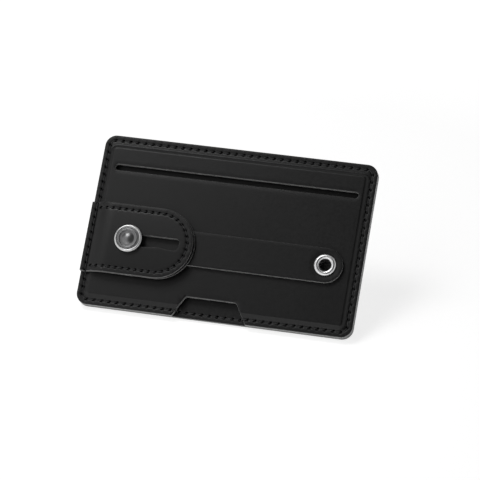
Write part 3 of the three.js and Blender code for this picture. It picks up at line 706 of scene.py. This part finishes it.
def grain_group():
    """Fine leather grain: a pebble height from cells, a slow drift and a fine mottle."""
    group = bpy.data.node_groups.new("fine leather grain", "ShaderNodeTree")
    face = group.interface
    pebbles = face.new_socket("Pebbles per metre", in_out="INPUT", socket_type="NodeSocketFloat")
    pebbles.default_value = PEBBLES_PER_METRE
    face.new_socket("Height", in_out="OUTPUT", socket_type="NodeSocketFloat")
    face.new_socket("Drift", in_out="OUTPUT", socket_type="NodeSocketFloat")
    face.new_socket("Mottle", in_out="OUTPUT", socket_type="NodeSocketFloat")
    inputs = group.nodes.new("NodeGroupInput")
    outputs = group.nodes.new("NodeGroupOutput")
    cells = patterned(group, "ShaderNodeTexVoronoi", feature="SMOOTH_F1")
    cells.inputs["Smoothness"].default_value = 0.6
    drift = patterned(group, "ShaderNodeTexNoise", Scale=55.0, Detail=3.0)
    mottle = patterned(group, "ShaderNodeTexNoise", Scale=900.0, Detail=4.0, Roughness=0.6)
    folds = patterned(group, "ShaderNodeTexNoise", Scale=420.0, Detail=3.0)
    link(group, inputs.outputs["Pebbles per metre"], cells.inputs["Scale"])
    both = add(group, "ShaderNodeMath", operation="MULTIPLY_ADD")
    both.inputs[1].default_value = PEBBLE_SHARE
    link(group, cells.outputs["Distance"], both.inputs[0])
    link(group, folds.outputs["Fac"], both.inputs[2])
    link(group, both.outputs[0], outputs.inputs["Height"])
    link(group, drift.outputs["Fac"], outputs.inputs["Drift"])
    link(group, mottle.outputs["Fac"], outputs.inputs["Mottle"])
    return group


def patterned(tree, kind, **values):
    """A texture node on the piece's own coordinates."""
    place = tree.nodes.new("ShaderNodeTexCoord")
    node = add(tree, kind, **values)
    link(tree, place.outputs["Object"], node.inputs["Vector"])
    return node


def mapped(tree, source, low, high, from_low=0.3, from_high=0.7):
    """A value carried from one range to another."""
    node = tree.nodes.new("ShaderNodeMapRange")
    node.inputs["From Min"].default_value = from_low
    node.inputs["From Max"].default_value = from_high
    node.inputs["To Min"].default_value = low
    node.inputs["To Max"].default_value = high
    link(tree, source, node.inputs["Value"])
    return node.outputs["Result"]


def mixed_colour(tree, factor, first, second):
    """A colour between two, each a value or a socket."""
    node = tree.nodes.new("ShaderNodeMix")
    node.data_type = "RGBA"
    link(tree, factor, node.inputs["Factor"])
    for socket, colour in ((node.inputs[6], first), (node.inputs[7], second)):
        if isinstance(colour, tuple):
            socket.default_value = (*colour, 1)
        else:
            link(tree, colour, socket)
    return node.outputs[2]


def leather(name, cut, rough):
    """Smooth black leather with a raw cut edge: its colour drifts and its grain is bump. The cut-edge mask
    turns it to the edge's fibre grey, lightened beyond the fibre's own grey as painted light, and the
    stitch-hole mask paints the holes near black without shine, as painted shade."""
    material, tree, shader = new_material(name)
    surface = tree.nodes.new("ShaderNodeGroup")
    surface.node_tree = GRAIN
    surface.inputs["Pebbles per metre"].default_value = PEBBLES_PER_METRE
    edge = add(tree, "ShaderNodeAttribute", attribute_name="cut_edge_light")
    tone = mixed_colour(tree, mapped(tree, surface.outputs["Drift"], 0, 1), BLACK_DARK, BLACK_LIGHT)
    fibre_dark = tuple(c * FIBRE_SHADE for c in cut)
    fibre = mixed_colour(tree, mapped(tree, surface.outputs["Mottle"], 0, 1), fibre_dark, cut)
    # The cut edge takes the lightened fibre grey, which is partly its own colour and partly painted light.
    share = mapped(tree, edge.outputs["Fac"], 0, 1, *EDGE_LIGHT_RAMP)
    dressed = mixed_colour(tree, share, tone, fibre)
    # Painted shade: the stitch holes are painted near black and lose their shine.
    hole = add(tree, "ShaderNodeAttribute", attribute_name="stitch_hole_shade")
    depth = mapped(tree, hole.outputs["Fac"], 0, 1, *HOLE_SHADE_RAMP)
    link(tree, mixed_colour(tree, depth, dressed, HOLE_PAINTED_SHADE), shader.inputs["Base Color"])
    shine = mapped(tree, hole.outputs["Fac"], LEATHER_SHINE, 0, *HOLE_SHADE_RAMP)
    link(tree, shine, shader.inputs["Specular IOR Level"])
    dullness = mapped(tree, surface.outputs["Mottle"], rough - 0.05, rough + 0.06)
    link(tree, dullness, shader.inputs["Roughness"])
    relief = add(tree, "ShaderNodeBump", Strength=GRAIN_STRENGTH, Distance=GRAIN_DEPTH)
    link(tree, surface.outputs["Height"], relief.inputs["Height"])
    link(tree, relief.outputs["Normal"], shader.inputs["Normal"])
    return material


def thread_material():
    """Black polyester thread with a faint sheen along its plies."""
    material, tree, shader = new_material("black_thread")
    fibres = patterned(tree, "ShaderNodeTexNoise", Scale=5000.0, Detail=2.0)
    colour = mixed_colour(tree, mapped(tree, fibres.outputs["Fac"], 0, 1), THREAD_DARK, THREAD_LIGHT)
    link(tree, colour, shader.inputs["Base Color"])
    link(tree, mapped(tree, fibres.outputs["Fac"], 0.45, 0.65), shader.inputs["Roughness"])
    shader.inputs["Sheen Weight"].default_value = 0.15
    return material


def nickel_material(name, tint, rough):
    """Nickel plate with a soft haze, and a painted highlight in a paler tint where the rim mask is 1."""
    material, tree, shader = new_material(name)
    haze = patterned(tree, "ShaderNodeTexNoise", Scale=700.0, Detail=4.0)
    pale = tuple(c * 1.08 for c in tint)
    colour = mixed_colour(tree, mapped(tree, haze.outputs["Fac"], 0, 1), tint, pale)
    # The rim mask paints a highlight, a paler tint where the cap's rim catches light.
    rim_highlight = add(tree, "ShaderNodeAttribute", attribute_name="rim_highlight")
    plate = mixed_colour(tree, rim_highlight.outputs["Fac"], colour, RIM_HIGHLIGHT_TINT)
    link(tree, plate, shader.inputs["Base Color"])
    dullness = mapped(tree, haze.outputs["Fac"], rough - 0.05, rough + 0.07)
    link(tree, dullness, shader.inputs["Roughness"])
    shader.inputs["Metallic"].default_value = 1.0
    return material


def paper_material():
    """Silicone coated liner paper with a faint fibre mottle."""
    material, tree, shader = new_material("liner_paper")
    fibres = patterned(tree, "ShaderNodeTexNoise", Scale=300.0, Detail=6.0)
    colour = mixed_colour(tree, mapped(tree, fibres.outputs["Fac"], 0, 1), PAPER_DARK, PAPER_LIGHT)
    link(tree, colour, shader.inputs["Base Color"])
    link(tree, mapped(tree, fibres.outputs["Fac"], 0.35, 0.5), shader.inputs["Roughness"])
    return material


def foam_material():
    """Foam tape with small open cells."""
    material, tree, shader = new_material("foam_tape")
    cells = patterned(tree, "ShaderNodeTexVoronoi", Scale=4200.0)
    colour = mixed_colour(tree, mapped(tree, cells.outputs["Distance"], 0, 1), FOAM_DARK, FOAM_LIGHT)
    link(tree, colour, shader.inputs["Base Color"])
    relief = add(tree, "ShaderNodeBump", Strength=0.4, Distance=0.0001)
    link(tree, cells.outputs["Distance"], relief.inputs["Height"])
    link(tree, relief.outputs["Normal"], shader.inputs["Normal"])
    shader.inputs["Roughness"].default_value = 0.85
    return material


GRAIN = grain_group()
BLACK_LEATHER = leather("black_leather", FACE_FIBRE_AND_EDGE_LIGHT, 0.40)
BACK_LEATHER = leather("back_leather", BACK_FIBRE_AND_EDGE_LIGHT, 0.46)
THREAD = thread_material()
NICKEL = nickel_material("satin_nickel", SATIN_TINT, 0.34)
BRIGHT_NICKEL = nickel_material("bright_nickel", BRIGHT_TINT, 0.32)
PAPER = paper_material()
FOAM = foam_material()


# Leather pieces

def shoulder_rise(x, y, run):
    """0 outside the pocket's foot and 1 on its flat, by the distance in from the foot's outline."""
    low = (SHOULDER_INSET - HALF_WIDTH, SHOULDER_INSET - HALF_HEIGHT)
    high = (HALF_WIDTH - SHOULDER_INSET, HALF_HEIGHT - SHOULDER_TOP_INSET)
    return smooth_step(-rounded_box_distance(x, y, low, high, POCKET_CORNER), 0, run)


def front_inside(x, y):
    """Distance outside the front panel: outside the holder, or inside any of its openings."""
    gaps = [slot_distance(x, y), notch_distance(x, y), circle_distance(x, y, EYELET_X, AXIS_Y, BARREL_HOLE)]
    return np.maximum.reduce([holder_distance(x, y), *[-gap for gap in gaps]])


def front_top(x, y):
    """The front panel's face: flange, shoulder and pocket, pulled in along the seam."""
    return FLANGE_TOP + RAISE * shoulder_rise(x, y, SHOULDER_RUN) - seam_press(x, y, PERIMETER)


def front_bottom(x, y):
    """The front panel's underside: flat on the back panel, hollow over the pocket."""
    return BACK_TOP + (POCKET_TOP - BACK_TOP) * shoulder_rise(x, y, POCKET_RUN)


def shoulder_points():
    """Points on contours of the pocket's shoulder, from just outside it to just inside."""
    first, last, count, spacing = -0.15, SHOULDER_RUN + 0.35, 11, 0.5
    rings = []
    for inset in np.linspace(first, last, count):
        low = (SHOULDER_INSET - HALF_WIDTH + inset, SHOULDER_INSET - HALF_HEIGHT + inset)
        high = (HALF_WIDTH - SHOULDER_INSET - inset, HALF_HEIGHT - SHOULDER_TOP_INSET - inset)
        rings.append(rounded_outline(low, high, POCKET_CORNER - inset, spacing))
    return np.concatenate(rings)


def make_front_panel():
    """The front panel, finely pointed along its seam and its shoulder."""
    loops = [notched_outline(), slot_outline(), circle_outline(EYELET_X, AXIS_Y, BARREL_HOLE)]
    seam = seam_points(PERIMETER)
    detail = np.concatenate([seam, thinned(shoulder_points(), seam, DETAIL_GAP)])
    piece = leather_sheet("front_panel_leather", loops, front_inside, front_top, front_bottom,
                          BLACK_LEATHER, detail, seams=[PERIMETER])
    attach(piece, "holder")
    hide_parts("front_panel")


def in_notch(x, y):
    """1 in the thumb notch and 0 under the front panel."""
    fade = 0.3
    return smooth_step(-notch_distance(x, y), 0, fade)


def make_back_panel():
    """The back panel, pulled in by the seam on its back and where the notch bares it."""
    def top(x, y):
        return BACK_TOP - in_notch(x, y) * seam_press(x, y, PERIMETER)

    def bottom(x, y):
        return BACK_BOTTOM + seam_press(x, y, PERIMETER)

    seam = seam_points(PERIMETER)
    around = 1
    near_notch = seam[notch_distance(*seam.T) < around]
    piece = leather_sheet("back_panel_leather", [holder_outline()], holder_distance, top, bottom,
                          BACK_LEATHER, near_notch, spacing=2.0, under_spacing=2.0, seams=[PERIMETER])
    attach(piece, "holder")
    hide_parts("back_panel")


STRAP_HOLES = ((EYELET_X, AXIS_Y, BARREL_HOLE), (BUTTON_X, AXIS_Y, SHANK_HOLE))


def strap_inside(x, y):
    """Distance outside the strap's leather."""
    holes = [circle_distance(x, y, *hole) for hole in STRAP_HOLES]
    return np.maximum.reduce([strap_distance(x, y), *[-hole for hole in holes]])


def make_strap():
    """The strap, dished where the eyelet grips it."""
    def top(x, y):
        dish_depth, dish_radius, dish_width = 0.14, 3.9, 0.8
        from_eyelet = np.hypot(x - EYELET_X, y - AXIS_Y)
        dish = dish_depth * np.exp(-(((from_eyelet - dish_radius) / dish_width) ** 2))
        return STRAP_TOP - dish

    def bottom(x, y):
        return np.full_like(x, PLATEAU_TOP)

    loops = [strap_outline(), *[circle_outline(*hole) for hole in STRAP_HOLES]]
    piece = leather_sheet("strap_leather", loops, strap_inside, top, bottom, BLACK_LEATHER,
                          spacing=0.8, edge=CUT_ROUND)
    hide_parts("strap")
    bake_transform(piece)


def tab_underside(x, y):
    """The height of the tab's underside: flat on the edge, drawn up onto the strap by 1 - (1 - t)^p,
    then level with its long sides a little lower than its middle."""
    away = (y - AXIS_Y) / TAB_HALF
    foot = -HALF_WIDTH + SEAM_INSET + TAB_FOOT_RUN
    crest = BUTTON_X - STRAP_HALF - TAB_STRAP_GAP
    left = 1 - np.clip((x - foot) / (crest - foot), 0, 1)
    climb = STRAP_TOP + TAB_STRAP_GAP - FLANGE_TOP - TAB_EDGE_DROOP * away**2
    return FLANGE_TOP + climb * (1 - left**TAB_RISE_POWER)


def make_tab_lining():
    """The tab's lining, whose edge shows round the tab's end."""
    def inside(x, y):
        return np.maximum(tab_distance(x, y, TAB_LINING_END), -tab_slot_distance(x, y))

    def top(x, y):
        return tab_underside(x, y) + TAB_LINING_THICKNESS

    loops = [tab_outline(TAB_LINING_END), tab_slot_outline()]
    piece = leather_sheet("tab_lining_leather", loops, inside, top, tab_underside, BACK_LEATHER,
                          spacing=0.8, under_spacing=0.8, edge=CUT_ROUND)
    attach(piece, "holder")
    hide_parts("tab_lining")


def make_tab_face():
    """The tab's face, pulled in along its own seam and the perimeter's."""
    def inside(x, y):
        return np.maximum(tab_distance(x, y, TAB_FACE_END), -tab_slot_distance(x, y))

    def top(x, y):
        press = np.maximum(seam_press(x, y, TAB_SEAM), seam_press(x, y, PERIMETER))
        return tab_underside(x, y) + TAB_THICKNESS - press

    def bottom(x, y):
        return tab_underside(x, y) + TAB_LINING_THICKNESS + TAB_LAYER_GAP

    loops = [tab_outline(TAB_FACE_END), tab_slot_outline()]
    own = seam_points(TAB_SEAM)
    crossing = seam_points(PERIMETER)
    detail = np.concatenate([own, thinned(crossing, own, DETAIL_GAP)])
    piece = leather_sheet("tab_face_leather", loops, inside, top, bottom, BLACK_LEATHER, detail,
                          spacing=0.7, under_spacing=0.9, seams=[TAB_SEAM, PERIMETER], edge=CUT_ROUND)
    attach(piece, "holder")
    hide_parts("tab_face")


# Threads

PLY_RADIUS = THREAD_RADIUS * 0.6
PLY_OFFSET = THREAD_RADIUS * 0.5
TWISTS_PER_STITCH = 3
THREAD_STEP = 0.16
THREAD_DIP = 0.75
PLY_SIDES = 7


def thread_lines(seam, height, sign):
    """A thread's centre line: over the leather between holes and down into each hole, by the
    sixth power of the cosine."""
    count = int(seam.count * round(seam.stitch / THREAD_STEP))
    lengths = np.linspace(0, seam.total, count, endpoint=not seam.closed)
    places = seam.at(lengths)
    hole = np.cos(np.pi * lengths / seam.stitch) ** 2
    z = height(*places.T) - sign * THREAD_DIP * hole**3
    turn = 2 * np.pi * TWISTS_PER_STITCH * lengths / seam.stitch
    return np.column_stack([places, z]), turn


def make_thread(name, node, seam, height, sign=1):
    """Two plies wound round each other along a seam."""
    centres, turn = thread_lines(seam, height, sign)
    vertices, faces, start = [], [], 0
    for phase in (0, np.pi):
        twist = PLY_OFFSET * np.stack([np.cos(turn + phase), np.sin(turn + phase)], 1)
        more, more_faces = carried_section(centres, PLY_RADIUS, PLY_SIDES, seam.closed, twist)
        faces += [face + start for face in more_faces]
        start += len(more)
        vertices.append(more)
    piece = mesh_object(name, np.concatenate(vertices), faces, THREAD, PLY_SMOOTH_ANGLE)
    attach(piece, "holder")
    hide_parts(node)


def face_seam_height(x, y):
    """The height of the perimeter thread on the face: flange, notch or tab."""
    clear = 0.2
    run = 0.35
    down = smooth_step(-notch_distance(x, y), clear, clear + run)
    beside = np.abs(y - AXIS_Y) - TAB_HALF
    up = (1 - smooth_step(beside, clear, clear + run)) * (x < 0)
    return FLANGE_TOP + (BACK_TOP - FLANGE_TOP) * down + TAB_THICKNESS * up


def tab_seam_height(x, y):
    """The height of the tab's thread on its face."""
    return tab_underside(x, y) + TAB_THICKNESS


# Metal pieces

EYELET_BORE = 2.1
EYELET_WALL = 0.45
EYELET_ROLL_FLAT = 0.37
EYELET_ROLL_WIDTH = 0.75
CAP_ROLL = 0.55
CAP_SINK = 0.3
CAP_FOOT_SHARE = 0.85
CAP_HOLE = 1.1
CAP_DISH = 0.05
# How far in from the rim the painted highlight starts, as a share of the roll.
CAP_HIGHLIGHT_SHARE = 0.8
RING_RADIUS = 3.2
RING_HEIGHT = 0.12
RING_WIDTH = 0.16
DOME_RADIUS = 2.2
SHANK_RADIUS = 1.0
TAIL_RADIUS = 1.7
TAIL_HEIGHT = 0.2
EYELET_SIDES = 80
CAP_SIDES = 96
RIVET_SIDES = 72


def make_eyelet():
    """The eyelet: a rolled flange with a smooth throat, a barrel and its roll in the pocket."""
    bore = EYELET_BORE
    barrel = bore + EYELET_WALL
    curl = barrel + EYELET_ROLL_WIDTH
    rim = (eyelet_high[0] - eyelet_low[0]) / 2
    height = eyelet_high[2] - STRAP_TOP
    middle = (rim + bore) / 2
    size = (rim - bore) / 2
    flange = profile_arc(middle, STRAP_TOP, size, 0, 180, 22, squash=height / size)
    roll = eyelet_low[2]
    washer = eyelet_washer_low[2]
    profile = [(bore, roll), (barrel + EYELET_ROLL_FLAT, roll), (curl, (roll + washer) / 2),
               (curl, washer), (barrel, washer), (barrel, STRAP_TOP), *flange]
    piece = turned("eyelet_metal", (EYELET_X, AXIS_Y), profile, BRIGHT_NICKEL, EYELET_SIDES)
    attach(piece, "holder")
    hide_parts("eyelet")


def make_button_cap():
    """The cap: a rolled rim and a sunk, slightly dished face. The ring on the face stands up by
    exp(-d^2), with d the distance from the ring's radius in its own widths."""
    low, high = cap_low[2], cap_high[2]
    outer = (cap_high[0] - cap_low[0]) / 2
    roll = CAP_ROLL
    rim = outer - roll
    face = high - CAP_SINK
    inner_foot = rim - roll * CAP_FOOT_SHARE
    radii = np.linspace(inner_foot - 0.1, DOME_RADIUS + 0.1, 46)
    raised = RING_HEIGHT * np.exp(-(((radii - RING_RADIUS) / RING_WIDTH) ** 2))
    dish = CAP_DISH * smooth_step(radii, DOME_RADIUS, inner_foot)
    floor = [(r, face + a + b) for r, a, b in zip(radii, raised, dish)]
    profile = [(CAP_HOLE, low), *profile_arc(rim, low + roll, roll, -90, 0, 8),
               *profile_arc(rim, high - roll, roll, 0, 150, 16), *floor, (CAP_HOLE, face)]
    piece = turned("button_cap_metal", (BUTTON_X, AXIS_Y), profile, NICKEL, CAP_SIDES)
    # The rolled rim gets a mask of 1. There the material paints a highlight in a paler tint.
    reach = np.repeat([radius for radius, _ in profile], CAP_SIDES)
    set_mask(piece, "rim_highlight", smooth_step(reach, rim - roll * CAP_HIGHLIGHT_SHARE, rim))
    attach(piece, "button")
    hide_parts("button_cap")


def make_button_rivet():
    """The rivet: a domed head with a soft foot, a shank and a tail."""
    face = cap_high[2] - CAP_SINK
    head, rise = DOME_RADIUS, rivet_high[2] - face
    sphere = (head**2 + rise**2) / (2 * rise)
    edge = np.degrees(np.arcsin((sphere - rise) / sphere))
    dome = profile_arc(0, face + rise - sphere, sphere, edge, 90, 18)[:-1]
    tail = rivet_low[2]
    upset = tail + TAIL_HEIGHT
    profile = [(0, tail), (TAIL_RADIUS, tail), (TAIL_RADIUS, upset), (SHANK_RADIUS, upset),
               (SHANK_RADIUS, face), *dome, (0, face + rise)]
    piece = turned("button_rivet_metal", (BUTTON_X, AXIS_Y), profile, NICKEL, RIVET_SIDES)
    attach(piece, "button")
    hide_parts("button_rivet")


# Finishes of the frame's own pieces

def dress_frame():
    """Gives each frame piece that shows as it is its material from the table below."""
    finishes = {
        "release_liner": PAPER,
        "adhesive_pad": FOAM,
        "eyelet_washer": NICKEL,
        "button_collar": NICKEL,
        "button_washer": NICKEL,
    }
    for node, material in finishes.items():
        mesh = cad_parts[node].data
        mesh.materials.clear()
        mesh.materials.append(material)


# Camera, light and floor

CAMERA_AZIMUTH = 12.434
CAMERA_ELEVATION = -14.072
CAMERA_ROLL = -10.157
CAMERA_AIM = (5.024, -1.378)
CAMERA_DISTANCE = 904.37
CAMERA_LENS = 196.0
SENSOR_WIDTH = 36
CLIP_START = 0.01
LEAN = np.radians(44.84)
FLOOR_GAP = 0.1
WORLD_LEVEL = 0.06
CARD_DIRECTION = (-0.209, 0.243, 0.947)
CARD_FADE = (0.1, 0.6)
FLOOR_HALF_SIDE = 3.0
FLOOR_WHITE = (0.82, 0.82, 0.82)
FLOOR_SEEN = (0.5, 0.5, 0.5)
FLOOR_LIFT = 0.80
FLOOR_FADE = (0.15, 0.40)


def make_camera():
    """The camera of the photograph, placed about the holder's face by a fit to its outline."""
    azimuth, elevation, roll = np.radians([CAMERA_AZIMUTH, CAMERA_ELEVATION, CAMERA_ROLL])
    level = np.cos(elevation)
    out = np.array([np.sin(azimuth) * level, np.sin(elevation), np.cos(azimuth) * level])
    right = np.cross(-out, [0, 1, 0])
    right /= np.linalg.norm(right)
    up = np.cross(right, -out)
    tilted_right = np.cos(roll) * right - np.sin(roll) * up
    tilted_up = np.sin(roll) * right + np.cos(roll) * up
    aim = np.array([*CAMERA_AIM, FLANGE_TOP])
    place = (aim + out * CAMERA_DISTANCE) * MM
    data = bpy.data.cameras.new("camera")
    data.lens = CAMERA_LENS
    data.sensor_width = SENSOR_WIDTH
    data.clip_start = CLIP_START
    camera = bpy.data.objects.new("camera", data)
    turn = Matrix([
        [tilted_right[i], tilted_up[i], out[i], place[i]] for i in range(3)
    ] + [[0, 0, 0, 1]])
    camera.matrix_world = turn
    bpy.context.scene.collection.objects.link(camera)
    bpy.context.scene.camera = camera


def area_light(name, place, target, size, power):
    """A soft box at a place, turned to a target, in metres."""
    data = bpy.data.lights.new(name, "AREA")
    data.shape = "RECTANGLE"
    data.size, data.size_y = size
    data.energy = power
    light = bpy.data.objects.new(name, data)
    light.location = place
    aim = Vector(target) - Vector(place)
    light.rotation_euler = aim.to_track_quat("-Z", "Y").to_euler()
    bpy.context.scene.collection.objects.link(light)


def joined(tree, operation, first, second):
    """The result of a Math node on two sockets."""
    node = add(tree, "ShaderNodeMath", operation=operation)
    link(tree, first, node.inputs[0])
    link(tree, second, node.inputs[1])
    return node.outputs[0]


def background_share(tree, mirrored=None):
    """1 for the rays that show the background: the camera's, and those mirrored or let through.
    The socket mirrored dims the last two."""
    path = tree.nodes.new("ShaderNodeLightPath")
    share = joined(tree, "MAXIMUM", path.outputs["Is Glossy Ray"], path.outputs["Is Transmission Ray"])
    if mirrored:
        share = joined(tree, "MULTIPLY", share, mirrored)
    return joined(tree, "MAXIMUM", share, path.outputs["Is Camera Ray"])


def beside_dark_card(tree):
    """0 where the world mirrors a dark card held over the holder's face, so that black leather
    stays black, and 1 well beside it: a ramp of the cosine from the card's direction."""
    place = tree.nodes.new("ShaderNodeTexCoord")
    cosine = add(tree, "ShaderNodeVectorMath", operation="DOT_PRODUCT")
    link(tree, place.outputs["Generated"], cosine.inputs[0])
    cosine.inputs[1].default_value = CARD_DIRECTION
    return mapped(tree, cosine.outputs["Value"], 1, 0, *CARD_FADE)


def make_lights():
    """A soft key from the upper left, a large panel from the left, a wide low fill from in front
    and a dim world."""
    area_light("key", (-0.24, 0.38, 0.41), (0, 0, 0), (0.26, 0.26), 1.3)
    area_light("left_panel", (-0.40, -0.08, 0.42), (0, 0, 0), (0.66, 0.70), 1.2)
    area_light("front_fill", (-0.10, -0.48, 0.50), (0, 0, 0), (0.50, 0.22), 0.6)
    world = bpy.data.worlds.new("studio")
    world.use_nodes = True
    bpy.context.scene.world = world
    tree = world.node_tree
    background = tree.nodes["Background"]
    background.inputs["Color"].default_value = (1, 1, 1, 1)
    white = background_share(tree, beside_dark_card(tree))
    link(tree, mapped(tree, white, WORLD_LEVEL, 1.0, 0, 1), background.inputs["Strength"])


def make_floor():
    """The plain white floor that the holder stands on, leaning back. The camera sees its shadow
    softened by the floor's own white, which is full far from the holder, and sees nothing of the
    floor from below."""
    side = FLOOR_HALF_SIDE
    up = Vector((0, np.sin(LEAN), np.cos(LEAN)))
    front = Vector((0, -np.cos(LEAN), np.sin(LEAN)))
    foot = Vector((0, -HALF_HEIGHT * MM, BACK_BOTTOM * MM)) - up * FLOOR_GAP * MM
    across = Vector((side, 0, 0))
    corners = [foot - across + front * side, foot + across + front * side,
               foot + across - front * side, foot - across - front * side]
    mesh = bpy.data.meshes.new("floor")
    mesh.from_pydata([tuple(corner) for corner in corners], [], [(0, 1, 2, 3)])
    material, tree, shader = new_material("floor_white")
    seen = background_share(tree)
    shade = mixed_colour(tree, seen, FLOOR_WHITE, FLOOR_SEEN)
    link(tree, shade, shader.inputs["Base Color"])
    shader.inputs["Roughness"].default_value = 0.9
    shader.inputs["Specular IOR Level"].default_value = 0.0
    place = tree.nodes.new("ShaderNodeTexCoord")
    distance = add(tree, "ShaderNodeVectorMath", operation="LENGTH")
    link(tree, place.outputs["Object"], distance.inputs[0])
    white = mapped(tree, distance.outputs["Value"], FLOOR_LIFT, 1.0, *FLOOR_FADE)
    shader.inputs["Emission Color"].default_value = (1, 1, 1, 1)
    link(tree, joined(tree, "MULTIPLY", seen, white), shader.inputs["Emission Strength"])
    clear = tree.nodes.new("ShaderNodeBsdfTransparent")
    sided = tree.nodes.new("ShaderNodeMixShader")
    facing = tree.nodes.new("ShaderNodeNewGeometry")
    link(tree, facing.outputs["Backfacing"], sided.inputs[0])
    link(tree, shader.outputs[0], sided.inputs[1])
    link(tree, clear.outputs[0], sided.inputs[2])
    link(tree, sided.outputs[0], tree.nodes["Material Output"].inputs["Surface"])
    mesh.materials.append(material)
    floor = bpy.data.objects.new("floor", mesh)
    bpy.context.scene.collection.objects.link(floor)


make_camera()
make_front_panel()
make_back_panel()
make_strap()
make_tab_lining()
make_tab_face()
make_thread("perimeter_thread_plies", "perimeter_thread", PERIMETER, face_seam_height)
make_thread("perimeter_back_thread_plies", "perimeter_back_thread", PERIMETER,
            lambda x, y: np.full_like(x, BACK_BOTTOM), sign=-1)
make_thread("tab_thread_plies", "tab_thread", TAB_SEAM, tab_seam_height)
make_eyelet()
make_button_cap()
make_button_rivet()
dress_frame()
make_lights()
make_floor()
bpy.context.scene.view_settings.view_transform = "Standard"
